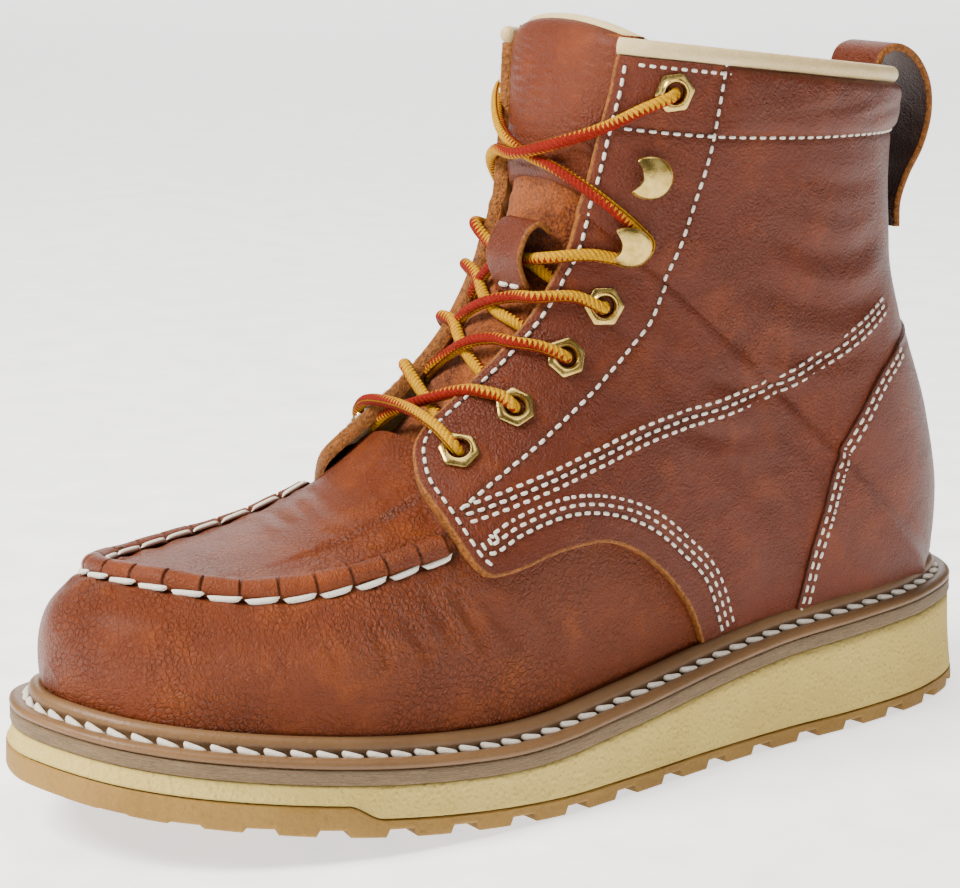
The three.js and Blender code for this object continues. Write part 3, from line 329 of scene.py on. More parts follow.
# The last's own coordinates of side view points: the station whose line passes through the point,
# then the column at that share of the line
def seek(points, side):
    found = []
    shares = np.linspace(0, 1, lastGrid["rows"])
    ds = lastLines[:, 2:] - lastLines[:, :2]
    half = lastGrid["half"]
    for y, z in np.atleast_2d(points):
        off = np.array([y, z]) - lastLines[:, :2]
        cross = ds[:, 0] * off[:, 1] - ds[:, 1] * off[:, 0]
        t = (ds * off).sum(1) / (ds ** 2).sum(1)
        flips = np.nonzero(cross[:-1] * cross[1:] <= 0)[0]
        flips = [i for i in flips if -0.6 < t[i] < 1.6] or [int(np.argmin(np.abs(cross)))]
        i = flips[-1]
        f = cross[i] / (cross[i] - cross[i + 1]) if i + 1 < len(cross) and cross[i] != cross[i + 1] else 0
        s = shares[i] + f * (shares[1] - shares[0])
        share = np.clip(t[i] + f * (t[min(i + 1, len(t) - 1)] - t[i]), 0, 1)
        row = lastShares[i][half:] if side > 0 else lastShares[i][:half + 1][::-1]
        v = np.interp(share, row[::-1], np.linspace(1, 0, half + 1))
        found.append([s, v * side])
    return np.array(found)


def sideView(rows, count):
    return evenly(throughPoints(np.asarray(rows) * [length, collar], 40 * len(rows)), count)


# Top view points of the toe's plug, found on the last by a few Newton steps from the nearest grid point
def seekPlan(points):
    points = np.asarray(points, float)
    top = lastPoints[:300, 30:151]
    flat = top[..., :2].reshape(-1, 2)
    near = np.argmin(((points[:, None] - flat[None]) ** 2).sum(2), axis=1)
    s = (near // 121) / (lastGrid["rows"] - 1)
    v = (near % 121 + 30) / lastGrid["half"] - 1
    for _ in range(6):
        p = onLast(s, v)[:, :2]
        ps, pv = (onLast(s + 1e-3, v)[:, :2] - p) / 1e-3, (onLast(s, v + 4e-3)[:, :2] - p) / 4e-3
        miss = points - p
        det = ps[:, 0] * pv[:, 1] - ps[:, 1] * pv[:, 0]
        det = np.where(np.abs(det) < 1e-6, 1e-6, det)
        s = s + np.clip((miss[:, 0] * pv[:, 1] - miss[:, 1] * pv[:, 0]) / det, -0.02, 0.02)
        v = v + np.clip((ps[:, 0] * miss[:, 1] - ps[:, 1] * miss[:, 0]) / det, -0.05, 0.05)
        s, v = np.clip(s, 0, 1), np.clip(v, -1, 1)
    return np.stack([s, v], 1)


def ease(x):
    x = np.clip(x, 0, 1)
    return x * x * (3 - 2 * x)


# Distance of every point to a line of points, and the share along the line where it is nearest
def nearLine(points, line):
    flat = points.reshape(-1, 3)
    best, where = np.full(len(flat), 1e9), np.zeros(len(flat))
    a, b = line[:-1], line[1:]
    d = b - a
    size = np.maximum((d ** 2).sum(1), 1e-9)
    for k in range(0, len(flat), 20000):
        p = flat[k:k + 20000, None]
        t = np.clip(((p - a) * d).sum(2) / size, 0, 1)
        gap = np.linalg.norm(p - a - t[..., None] * d, axis=2)
        at = np.argmin(gap, axis=1)
        rows = np.arange(len(at))
        best[k:k + 20000] = gap[rows, at]
        where[k:k + 20000] = (at + t[rows, at]) / len(a)
    return best.reshape(points.shape[:-1]), where.reshape(points.shape[:-1])


# A soft trough with low banks, fading out at both ends of its line
def crease(points, line, depth, breadth, fade=0.25):
    d, at = nearLine(points, line)
    ends = ease(at / fade) * ease((1 - at) / fade)
    return ends * depth * (-np.exp(-(d / breadth) ** 2)
                           + 0.42 * np.exp(-((d - 2.1 * breadth) / (0.9 * breadth)) ** 2))


def gridFaces(rows, cols, closeRows=False, closeCols=False, start=0):
    i = np.arange(rows if closeRows else rows - 1)[:, None]
    j = np.arange(cols if closeCols else cols - 1)[None, :]
    nextI, nextJ = (i + 1) % rows, (j + 1) % cols
    corners = np.broadcast_arrays(i * cols + j, i * cols + nextJ, nextI * cols + nextJ, nextI * cols + j)
    return np.stack(corners, -1).reshape(-1, 4) + start


# Faces turned the way that the given outward direction says, or for a closed skin outwards by its volume
def turned(points, faces, outward=None):
    p = points[faces]
    area = np.cross(p[:, 2] - p[:, 0], p[:, 3] - p[:, 1])
    if outward is None:
        score = (area * (p.mean(1) - points.mean(0))).sum()
    else:
        score = (area * outward[faces].mean(1)).sum()
    return faces[:, ::-1] if score < 0 else faces


# One object from several skins, each of them points, quads and optional values for its points
def makePiece(name, skins, material, replaces=(), sharpAngle=None, secondMaterial=None):
    points = np.vstack([skin["points"].reshape(-1, 3) for skin in skins]) * mm
    starts = np.cumsum([0] + [skin["points"].size // 3 for skin in skins])
    faces = np.vstack([skin["faces"] + start for skin, start in zip(skins, starts)])
    mesh = bpy.data.meshes.new(name)
    mesh.vertices.add(len(points))
    mesh.vertices.foreach_set("co", points.astype(np.float32).ravel())
    mesh.loops.add(faces.size)
    mesh.loops.foreach_set("vertex_index", faces.astype(np.int32).ravel())
    mesh.polygons.add(len(faces))
    mesh.polygons.foreach_set("loop_start", np.arange(0, faces.size, 4, dtype=np.int32))
    mesh.polygons.foreach_set("use_smooth", np.ones(len(faces), bool))
    for key in sorted({key for skin in skins for key in skin.get("values", {})}):
        layer = mesh.attributes.new(key, "FLOAT", "POINT")
        values = np.concatenate([np.broadcast_to(skin.get("values", {}).get(key, 0.0),
                                                 skin["points"].shape[:-1]).ravel()
                                 for skin in skins])
        layer.data.foreach_set("value", values.astype(np.float32))
    mesh.materials.append(material)
    if secondMaterial:
        mesh.materials.append(secondMaterial)
        index = np.concatenate([np.full(len(skin["faces"]), skin.get("finish", 0)) for skin in skins])
        mesh.polygons.foreach_set("material_index", index.astype(np.int32))
    mesh.update(calc_edges=True)
    mesh.validate()
    if sharpAngle:
        mesh.set_sharp_from_angle(angle=math.radians(sharpAngle))
    item = bpy.data.objects.new(name, mesh)
    bpy.context.scene.collection.objects.link(item)
    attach(item, "root")
    if replaces:
        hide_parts(*replaces)
    return item


# A profile carried along a path: point = path + a * side + b * normal, with side = along x normal
def carried(path, normal, profile, closePath=False, closeProfile=True):
    if closePath:
        along = np.roll(path, -1, 0) - np.roll(path, 1, 0)
    else:
        along = np.gradient(path, axis=0)
    along /= np.maximum(np.linalg.norm(along, axis=1), 1e-9)[:, None]
    normal = normal - (normal * along).sum(1)[:, None] * along
    normal /= np.maximum(np.linalg.norm(normal, axis=1), 1e-9)[:, None]
    side = np.cross(along, normal)
    profile = np.broadcast_to(profile, (len(path),) + np.shape(profile)[-2:])
    points = path[:, None] + profile[..., :1] * side[:, None] + profile[..., 1:2] * normal[:, None]
    faces = gridFaces(len(path), profile.shape[1], closePath, closeProfile)
    return points, turned(points.reshape(-1, 3), faces)


# Closes the two ends of a carried profile by shrinking its last ring to its middle
def capped(points):
    first, last = points[0].mean(0), points[-1].mean(0)
    return np.concatenate([np.broadcast_to(first, points[:1].shape), points, np.broadcast_to(last,
            points[:1].shape)])


# Rows of stitches along a line on a surface. Each is a short arched grain: its middle lies on the
# skin and its ends dive in, and its girth swells and closes as sqrt(1 - (2t - 1)^4)
def stitches(line, normal, pitch=3.3, share=0.68, girth=0.42, rise=0.12, slant=0.0, around=6, steps=6,
             bow=0.0):
    run = np.concatenate([[0], np.cumsum(np.linalg.norm(np.diff(line, axis=0), axis=1))])
    count = max(int(round(run[-1] / pitch)), 1)
    start = (np.arange(count) + 0.5 - share / 2) * run[-1] / count
    t = np.linspace(0, 1, steps)
    at = start[:, None] + t * share * run[-1] / count
    pick = lambda rows: np.stack([np.interp(at, run, rows[:, c]) for c in range(3)], -1)
    centre, up = pick(line), pick(normal)
    up /= np.linalg.norm(up, axis=2)[..., None]
    along = np.gradient(centre, axis=1)
    along /= np.maximum(np.linalg.norm(along, axis=2), 1e-9)[..., None]
    side = np.cross(along, up)
    swell = np.sqrt(np.clip(1 - (2 * t - 1) ** 4, 0, 1))[:, None]
    centre = centre + up * (rise - (1 - swell) * girth * 0.8) + side * (slant * (2 * t[:,
            None] - 1) + bow * (swell - 0.5))
    angle = np.arange(around) / around * 2 * np.pi
    ring = side[:, :, None] * np.cos(angle)[:, None] + up[:, :, None] * np.sin(angle)[:, None] * 0.85
    points = centre[:, :, None] + ring * (girth * np.maximum(swell, 0.02))[..., None]
    single = gridFaces(steps, around, closeCols=True)
    single = turned(points[0].reshape(-1, 3), single)
    faces = (single[None] + (np.arange(count) * steps * around)[:, None, None]).reshape(-1, 4)
    return {"points": points.reshape(-1, 3), "faces": faces}


# A line on the leather from side view points, with the skin's normals, at a lift over the last
def lineOn(rows, side, lift, count, shares=True):
    flat = sideView(rows, count) if shares else evenly(throughPoints(rows, 40 * len(rows)), count)
    at = seek(flat, side)
    return onLast(at[:, 0], at[:, 1], lift), normalAt(at[:, 0], at[:, 1])


print("tools ready")


# Node shorthand: put("Noise", Scale=8, Vector=socket) adds a node, joins sockets and sets numbers
class Recipe:
    kinds = {
        "noise": "ShaderNodeTexNoise", "cells": "ShaderNodeTexVoronoi", "waves": "ShaderNodeTexWave",
        "ramp": "ShaderNodeValToRGB", "range": "ShaderNodeMapRange", "math": "ShaderNodeMath",
             "mix": "ShaderNodeMix",
        "bump": "ShaderNodeBump", "place": "ShaderNodeMapping", "coords": "ShaderNodeTexCoord",
        "value": "ShaderNodeAttribute", "split": "ShaderNodeSeparateXYZ", "join": "ShaderNodeCombineXYZ",
        "skin": "ShaderNodeBsdfPrincipled", "output": "ShaderNodeOutputMaterial"}

    def __init__(self, name):
        self.material = bpy.data.materials.new(name)
        self.material.use_nodes = True
        self.tree = self.material.node_tree
        self.tree.nodes.clear()
        self.coords = self.put("coords").outputs["Object"]

    def put(self, kind, settings=None, **sockets):
        node = self.tree.nodes.new(self.kinds[kind])
        for key, value in (settings or {}).items():
            setattr(node, key, value)
        for key, value in sockets.items():
            names = [s for s in node.inputs if s.enabled and s.name.replace(" ", "") == key]
            socket = names[0] if names else node.inputs[int(key[1:])]
            if isinstance(value, bpy.types.NodeSocket):
                self.tree.links.new(value, socket)
            else:
                socket.default_value = value
        return node

    def noise(self, scale, detail=4, roughness=0.55, at=None, distortion=0.0):
        return self.put("noise", Vector=at or self.coords, Scale=scale, Detail=detail, Roughness=roughness,
                        Distortion=distortion).outputs[0]

    def cells(self, scale, feature="F1", at=None, randomness=1.0):
        return self.put("cells", {"feature": feature}, Vector=at or self.coords, Scale=scale,
                        Randomness=randomness).outputs["Distance"]

    def stretch(self, scale, turn=(0, 0, 0)):
        return self.put("place", Vector=self.coords, Scale=scale, Rotation=turn).outputs[0]

    def between(self, value, low, high, a=0.0, b=1.0):
        return self.put("range", {"clamp": True}, Value=value, FromMin=low, FromMax=high, ToMin=a,
                        ToMax=b).outputs[0]

    def sums(self, operation, a, b=0.0):
        return self.put("math", {"operation": operation}, _0=a, _1=b).outputs[0]

    def times(self, a, b):
        return self.sums("MULTIPLY", a, b)

    def plus(self, a, b):
        return self.sums("ADD", a, b)

    def value(self, name):
        return self.put("value", {"attribute_name": name}).outputs["Fac"]

    def blend(self, amount, a, b, how="MIX"):
        node = self.tree.nodes.new("ShaderNodeMix")
        node.data_type, node.blend_type = "RGBA", how
        for socket, value in ((node.inputs[0], amount), (node.inputs[6], a), (node.inputs[7], b)):
            if isinstance(value, bpy.types.NodeSocket):
                self.tree.links.new(value, socket)
            else:
                socket.default_value = value if isinstance(value, float) else (*value, 1.0)
        return node.outputs[2]

    def relief(self, height, strength=1.0, depth=0.001, below=None):
        node = self.put("bump", Height=height, Strength=strength, Distance=depth)
        if below:
            self.tree.links.new(below, node.inputs["Normal"])
        return node.outputs[0]

    def finish(self, colour, roughness, normal=None, fixed=None):
        skin = self.tree.nodes.new("ShaderNodeBsdfPrincipled")
        for key, value in {"Base Color": colour, "Roughness": roughness, "Normal": normal,
                           **(fixed or {})}.items():
            if value is None:
                continue
            if isinstance(value, bpy.types.NodeSocket):
                self.tree.links.new(value, skin.inputs[key])
            else:
                skin.inputs[key].default_value = (*value, 1.0) if isinstance(value,
                        tuple) and len(value) == 3 else value
        output = self.tree.nodes.new("ShaderNodeOutputMaterial")
        self.tree.links.new(skin.outputs[0], output.inputs[0])
        return self.material


# A colour as it looks on a screen, from 0 to 255, turned into the renderer's linear numbers
def paint(r, g, b):
    return tuple(c / 255 / 12.92 if c <= 10 else ((c / 255 + 0.055) / 1.055) ** 2.4 for c in (r, g, b))


leatherLook = {
    "colour": (98, 36, 3), "deep": (72, 23, 2), "bright": (148, 68, 7), "rawEdge": (156, 94, 36),
    "pebble": 1200, "grain": 2400, "pebbleDepth": 0.00045, "crackle": 0.3, "roughness": 0.4, "coat": 0.03,
               "coatRoughness": 0.3,
}


# Full grain leather: clouded colour, fine pebbles gathered in patches, hair-thin creases, painted shade in
# troughs, seams and hollows, lighter places that are partly wear and partly painted highlight, and a pale raw
# edge
def leather(name, look=leatherLook, tint=None):
    r = Recipe(name)
    look = {**leatherLook, **(tint or {})}
    broad = r.noise(14, 4, 0.6)
    middle = r.noise(75, 5, 0.65, distortion=0.4)
    tone = r.blend(r.between(broad, 0.33, 0.68, 0.4, 1.0), paint(*look["deep"]), paint(*look["colour"]))
    tone = r.blend(r.times(r.between(middle, 0.5, 0.8), 0.34), tone, paint(*look["bright"]))
    tone = r.blend(r.times(r.between(middle, 0.46, 0.22), 0.36), tone, paint(*look["deep"]))
    warped = r.stretch((1.0, 1.35, 1.1), (0.3, 0.5, 0.2))
    pebble = r.cells(look["pebble"], "SMOOTH_F1", at=warped)
    creases = r.cells(look["pebble"] * 0.6, "DISTANCE_TO_EDGE", at=warped)
    patches = r.between(r.noise(32, 3, 0.5), 0.36, 0.6)
    lines = r.between(creases, 0.0, 0.11)
    fine = r.noise(look["grain"], 3, 0.6)
    tone = r.blend(r.times(r.between(lines, 1, 0), r.between(patches, 0, 1, 0.05,
            0.1 + look["crackle"] * 0.3)), tone, paint(*[c * 0.5 for c in look["deep"]]))
    # lighter towards the bright colour by a point value and random clouds: wear near edges, painted highlight
    # on crests and pillow tops
    rubbedAndLit = r.between(r.plus(r.value("worn"), r.times(r.plus(middle, -0.5), 0.7)), 0.2, 1.1)
    tone = r.blend(rubbedAndLit, tone, paint(*look["bright"]))
    # painted shade: darker towards a deep brown by a point value, in troughs, seams, grooves and hollows
    tone = r.blend(r.between(r.value("shade"), 0, 1, 0, 0.8), tone, paint(*[c * 0.3 for c in look["deep"]]))
    raw = r.blend(r.between(r.noise(900, 4, 0.7), 0.35, 0.65), paint(*[c * 0.6 for c in look["rawEdge"]]),
                  paint(*look["rawEdge"]))
    edge = r.between(r.plus(r.value("edge"), r.times(r.plus(r.noise(700, 3), -0.5), 0.5)), 0.35, 0.62)
    tone = r.blend(edge, tone, raw)
    height = r.times(r.between(pebble, 0.05, 0.8), r.between(patches, 0, 1, 0.3, 0.7))
    height = r.plus(height, r.times(lines, r.between(patches, 0, 1, look["crackle"] * 0.35,
                                                     look["crackle"])))
    height = r.plus(height, r.times(fine, 0.65))
    slow = r.relief(middle, 0.7, 0.0016)
    bump = r.relief(height, 1.0, look["pebbleDepth"], below=slow)
    rough = r.plus(r.between(broad, 0.3, 0.7, look["roughness"] - 0.06, look["roughness"] + 0.07),
                   r.times(edge, 0.3))
    return r.finish(tone, rough, bump, {"Coat Weight": look["coat"],
                                        "Coat Roughness": look["coatRoughness"],
                                        "Specular IOR Level": 0.26})


# Brushed suede: short nap seen as fine noise in colour and bump, with lighter and darker strokes
def suede(name, colour, dark, nap=2600, depth=0.0006):
    r = Recipe(name)
    strokes = r.noise(45, 4, 0.7, distortion=0.6)
    hairs = r.noise(nap, 4, 0.8)
    tone = r.blend(r.between(strokes, 0.35, 0.66), paint(*dark), paint(*colour))
    tone = r.blend(r.times(r.between(hairs, 0.45, 0.72), 0.7), tone,
                   paint(*[min(c * 1.4, 255) for c in colour]))
    tone = r.blend(r.times(r.between(hairs, 0.47, 0.3), 0.6), tone, paint(*[c * 0.7 for c in dark]))
    # painted shade from a point value: on the lining, darker towards the bottom inside the boot
    tone = r.blend(r.between(r.value("shade"), 0, 1, 0, 0.8), tone, paint(*[c * 0.35 for c in dark]))
    bump = r.relief(r.plus(r.times(hairs, 0.8), r.noise(nap * 0.3, 3)), 1.0, depth)
    return r.finish(tone, 0.95, bump, {"Sheen Weight": 0.12, "Sheen Roughness": 0.5,
                                       "Specular IOR Level": 0.12})


# Moulded rubber or foam: a stippled face with faint specks and a slow change of colour
def rubber(name, colour, dark, stipple=520, depth=0.0004, roughness=0.8, speck=0.25):
    r = Recipe(name)
    slow = r.noise(22, 4, 0.6)
    tone = r.blend(r.between(slow, 0.3, 0.7), paint(*dark), paint(*colour))
    dots = r.between(r.cells(stipple), 0.1, 0.55)
    tone = r.blend(r.times(r.between(r.noise(stipple * 1.6, 3, 0.7), 0.5, 0.72), speck), tone,
                   paint(*[c * 0.6 for c in dark]))
    # painted shade from a point value: darker in the tread's slots, the welt's groove and where the sole's
    # layers meet
    tone = r.blend(r.between(r.value("shade"), 0, 1, 0, 0.8), tone, paint(*[c * 0.35 for c in dark]))
    bump = r.relief(r.plus(r.times(dots, -0.5), r.times(r.noise(stipple * 3, 3), 0.5)), 1.0, depth)
    return r.finish(tone, roughness, bump, {"Specular IOR Level": 0.3})


# The strip under the welt: fibres lie along the sole, as in pressed leather board
def strip(name, colour, dark, light):
    r = Recipe(name)
    along, high = r.value("along"), r.value("high")
    at = r.put("join", X=r.times(along, 0.02), Y=r.times(high, 0.9), Z=0.0).outputs[0]
    fibre = r.noise(6, 6, 0.7, at=at)
    at2 = r.put("join", X=r.times(along, 0.09), Y=r.times(high, 2.6), Z=3.0).outputs[0]
    fine = r.noise(7, 4, 0.7, at=at2)
    tone = r.blend(r.between(fibre, 0.36, 0.64), paint(*dark), paint(*colour))
    tone = r.blend(r.times(r.between(fine, 0.5, 0.72), 0.7), tone, paint(*light))
    tone = r.blend(r.times(r.between(fine, 0.46, 0.3), 0.75), tone, paint(*[c * 0.5 for c in dark]))
    bump = r.relief(r.plus(fibre, r.times(fine, 0.8)), 1.0, 0.0005)
    return r.finish(tone, 0.62, bump, {"Specular IOR Level": 0.35})


def brass(name):
    r = Recipe(name)
    slow = r.noise(300, 4, 0.6)
    tone = r.blend(r.between(slow, 0.3, 0.7), paint(156, 128, 62), paint(206, 178, 104))
    # painted shade from a point value: near black inside the eyelets' tubes, dimmer on the hooks' necks under
    # their plates
    tone = r.blend(r.between(r.value("shade"), 0, 1, 0, 1.0), tone, paint(38, 30, 22))
    bump = r.relief(r.noise(2200, 3), 0.5, 0.00008)
    return r.finish(tone, r.between(slow, 0.3, 0.7, 0.2, 0.32), bump, {"Metallic": 1.0})


# Round braid in two colours: slanted ribs, one half of the girth yellow and the other brick red,
# with a border in teeth where the strands change over
def braid(name):
    r = Recipe(name)
    turn, run = r.value("turn"), r.value("run")
    rib = r.sums("PINGPONG", r.plus(r.times(turn, 4.0), r.times(run, 0.72)), 0.5)
    teeth = r.times(r.plus(r.sums("PINGPONG", r.times(run, 0.72), 0.5), -0.25), 0.42)
    place = r.sums("FRACT", r.plus(r.plus(turn, r.times(run, 0.012)), teeth))
    red = r.between(r.sums("PINGPONG", place, 0.5), 0.24, 0.26)
    hair = r.noise(2600, 3, 0.7)
    yellow = r.blend(r.between(hair, 0.35, 0.7), paint(158, 108, 0), paint(218, 164, 0))
    brick = r.blend(r.between(hair, 0.35, 0.7), paint(96, 14, 6), paint(150, 32, 14))
    tone = r.blend(red, yellow, brick)
    # painted shade: the grooves between the ribs are darkened
    tone = r.blend(r.between(rib, 0.13, 0.0, 0, 0.6), tone, paint(52, 24, 8))
    bump = r.relief(r.plus(rib, r.times(hair, 0.2)), 1.0, 0.0006)
    return r.finish(tone, 0.8, bump, {"Specular IOR Level": 0.12})


def thread(name, colour, dark, twist=0):
    r = Recipe(name)
    hair = r.noise(3000, 3, 0.6)
    tone = r.blend(r.between(hair, 0.35, 0.65), paint(*dark), paint(*colour))
    return r.finish(tone, 0.75, r.relief(hair, 0.8, 0.0002), {"Sheen Weight": 0.15,
            "Specular IOR Level": 0.3})


def plain(name, colour, roughness=0.6):
    r = Recipe(name)
    tone = r.blend(r.between(r.noise(40, 4), 0.3, 0.7), paint(*[c * 0.9 for c in colour]), paint(*colour))
    return r.finish(tone, roughness, r.relief(r.noise(700, 3), 0.4, 0.0002))


looks = {
    "vamp": leather("vamp leather", tint={"colour": (110, 45, 3), "bright": (164, 82, 9), "deep": (86, 32,
            2), "pebble": 900, "crackle": 0.5, "pebbleDepth": 0.0008}),
    "quarter": leather("quarter leather"),
    "cuff": leather("cuff leather", tint={"pebble": 1000}),
    "ridge": leather("ridge leather", tint={"colour": (116, 50, 6), "pebble": 1400}),
    "tongueSuede": suede("tongue suede", (150, 80, 30), (78, 32, 9), nap=1300, depth=0.0011),
    "pad": leather("tongue leather", tint={"pebble": 1300, "colour": (106, 42, 4)}),
    "lining": suede("cream lining", (222, 200, 150), (184, 156, 104), nap=1800, depth=0.0003),
    "piping": leather("cream piping", tint={"colour": (226, 202, 150), "deep": (196, 166, 112),
                                            "bright": (240, 226, 186),
                                            "pebble": 1400, "pebbleDepth": 0.0001, "coat": 0.0}),
    "strap": leather("strap leather", tint={"colour": (98, 38, 9), "deep": (66, 22, 4), "bright": (136, 62,
            18), "pebble": 1400}),
    "welt": rubber("welt", (122, 90, 58), (96, 68, 42), 900, 0.00012, 0.42, 0.1),
    "strip": strip("fibre strip", (156, 130, 96), (98, 76, 54), (206, 180, 136)),
    "wedge": rubber("wedge foam", (206, 182, 104), (188, 162, 84), 620, 0.0005, 0.85, 0.14),
    "tread": rubber("tread rubber", (148, 114, 54), (124, 92, 38), 420, 0.0003, 0.7, 0.2),
    "brass": brass("brass"),
    "lace": braid("lace braid"),
    "white": thread("white thread", (244, 238, 226), (206, 194, 176)),
    # dark marks laid into needle holes and thread grooves: painted shade
    "dark": thread("needle hole shade", (52, 26, 14), (24, 12, 7)),
    "insole": leather("insole leather", tint={"colour": (206, 170, 122), "deep": (176, 138, 94),
                                              "bright": (222, 190, 146)}),
}
print("materials mixed")

soleCuts = {"columns": 1320, "inside": 13.0, "flare": 1.4, "strip": 4.1, "tread": 4.8, "lugDepth": 3.0,
            "lugWidth": 9.0,
            "lugPitch": 18.0, "toeEnd": -0.27, "toeSlope": 0.03, "toeGap": 5.2}
around = np.arange(soleCuts["columns"]) / soleCuts["columns"] * soleRound


def stripBottom(y):
    return soleTop(y) - soleCuts["strip"]


def treadTop(y):
    share = ease((soleCuts["toeEnd"] * length - y) / (soleCuts["toeSlope"] * length))
    thin = floorRise(y) + soleCuts["tread"]
    return thin + (stripBottom(y) - soleCuts["toeGap"] - thin) * share


# A layer of the sole: rows of (growth over the sole's edge, height at y) swept round the edge
def layer(rows, columns=None):
    runs = around if columns is None else columns
    rings = []
    for grow, height in rows:
        x, y = soleEdge(runs, -grow if np.isscalar(grow) else -grow(runs))
        rings.append(np.stack([x, y, height(y, runs)], -1))
    points = np.stack(rings, 1)
    return points, runs


# The last argument gives one value of painted shade per row: darker on rows tucked out of sight and where the
# sole's layers meet
def sweptLayer(name, rows, material, replaces, shade=None, sharpAngle=None):
    points, runs = layer(rows)
    faces = gridFaces(*points.shape[:2], True, True)
    faces = turned(points.reshape(-1, 3), faces)
    run = np.broadcast_to(runs[:, None], points.shape[:2])
    values = {"along": run, "high": points[..., 2] - soleTop(points[..., 1]),
              "shade": np.broadcast_to(np.array(shade if shade is not None else [0.0] * len(rows)),
                                       points.shape[:2])}
    return makePiece(name, [{"points": points, "faces": faces, "values": values}], material, replaces,
                     sharpAngle)


deep = soleCuts["inside"]
wobble = lambda runs, size, wave: size * (np.sin(runs / wave) + 0.6 * np.sin(runs / wave * 2.3 + 1.3))
# The last list is painted shade per row: dark on the hidden inner rows and along the strip's curled top and
# bottom edges
sweptLayer("midsole_strip", [
    (-deep, lambda y, r: stripBottom(y)), (-1.2, lambda y, r: stripBottom(y)), (-0.45, lambda y,
            r: stripBottom(y) + 0.05),
    (-0.1, lambda y, r: stripBottom(y) + 0.35), (lambda r: wobble(r, 0.05, 9), lambda y,
                                                 r: stripBottom(y) + 0.9),
    (lambda r: wobble(r, 0.08, 5), lambda y, r: stripBottom(y) + 1.9), (lambda r: wobble(r, 0.06, 7),
            lambda y, r: stripBottom(y) + 2.8),
    (-0.05, lambda y, r: soleTop(y) - 0.5), (-0.4, lambda y, r: soleTop(y) - 0.08), (-1.4, lambda y,
            r: soleTop(y)),
    (-deep, lambda y, r: soleTop(y))], looks["strip"], ["midsole"],
    shade=[1, 0.9, 0.7, 0.25, 0, 0, 0, 0.1, 0.5, 0.8, 1])

wedgeRows = [(-deep, lambda y, r: treadTop(y) + 0.15), (0.4, lambda y, r: treadTop(y) + 0.15)]
for i in range(9):
    part = i / 8
    wedgeRows.append((soleCuts["flare"] - 0.35 - 1.45 * part - 0.35 * math.sin(math.pi * part),
                      lambda y, r,
                      part=part: treadTop(y) + 0.35 + (stripBottom(y) - 0.5 - treadTop(y)) * part))
wedgeRows += [(-1.0, lambda y, r: stripBottom(y) - 0.02), (-deep, lambda y, r: stripBottom(y) - 0.02)]
# Painted shade per row: dark on the hidden inner rows and at the foot and top of the wedge's side
sweptLayer("wedge_foam", wedgeRows, looks["wedge"], ["wedge"], shade=[1, 0.6, 0.25, 0, 0, 0, 0, 0,
        0, 0.1, 0.5, 0.8, 1])


# The tread: a thick toe and a thin rest, with slots across the edge, worked out on columns that
# meet the slots' walls
def makeTread():
    cut = soleCuts
    count = int(soleRound / cut["lugPitch"])
    middles = (np.arange(count) + 0.5) * soleRound / count
    wall = cut["lugWidth"] / 2
    runs = np.unique(np.round(np.concatenate([around[::2], *[middles + d for d in (-wall, 1.0 - wall,
            wall - 1.0, wall)]]), 3))
    near = np.abs(runs[:, None] - middles).min(1)
    slot = np.clip((wall - near) / 1.0, 0, 1)
    rows = []
    y0 = soleEdge(runs, 0.0)[1]
    spineY = np.clip(y0, -heelY + 46, heelY - 40)
    lat, med = footSides(spineY)
    spine = np.stack([(lat + med) / 2, spineY], -1)

    def ring(grow, height):
        x, y = soleEdge(runs, -grow)
        return np.stack([x, y, height(y)], -1)

    depth = np.interp(y0 / length, [-0.5, -0.44, -0.36, -0.25, 0.5], [0.0, 0.5, 1.5, 2.2, 2.4])
    lift = slot * depth
    inner = ring(-20.0, lambda y: floorRise(y))
    rows.append(np.stack([spine[:, 0], spine[:, 1], floorRise(spine[:, 1])], -1))
    rows.append(inner)
    for grow, share in ((-19.0, 1.0), (-14.0, 1.0), (-8.0, 1.0), (-3.0, 1.0), (0.0, 1.0)):
        rows.append(ring(grow, lambda y, share=share: floorRise(y) + lift * share))
    low = lambda y: floorRise(y) + np.maximum(lift, 0.0)
    rows.append(ring(0.9, lambda y: low(y) + 0.05))
    rows.append(ring(1.25, lambda y: low(y) + 0.3))
    rows.append(ring(1.4, lambda y: low(y) + 0.8))
    for part in (0.35, 0.7, 0.93):
        rows.append(ring(1.4 - 0.2 * part, lambda y,
                         part=part: low(y) + 0.8 + (treadTop(y) - 1.0 - low(y)) * part))
    rows.append(ring(0.75, lambda y: treadTop(y) - 0.08))
    rows.append(ring(-deep, lambda y: treadTop(y) - 0.1))
    rows.append(np.stack([spine[:, 0], spine[:, 1], treadTop(spine[:, 1]) - 0.1], -1))
    points = np.stack(rows, 1)
    faces = turned(points.reshape(-1, 3), gridFaces(*points.shape[:2], True, False))
    # painted shade: darker inside the slots across the tread's edge
    shade = np.zeros(points.shape[:2])
    shade[:, 1:7] = slot[:, None] * 0.8
    return makePiece("tread", [{"points": points, "faces": faces, "values": {"shade": shade}}],
                     looks["tread"],
                     ["outsole"], sharpAngle=38)


makeTread()

# The welt's rounded rope against the upper, the groove with its thick stitches and the flange below them
weltLook = {"groove": 5.4, "beadTop": 6.9, "stitchPitch": 6.76}
beadMiddle, beadHigh, beadRound = 7.35, 4.45, 2.45
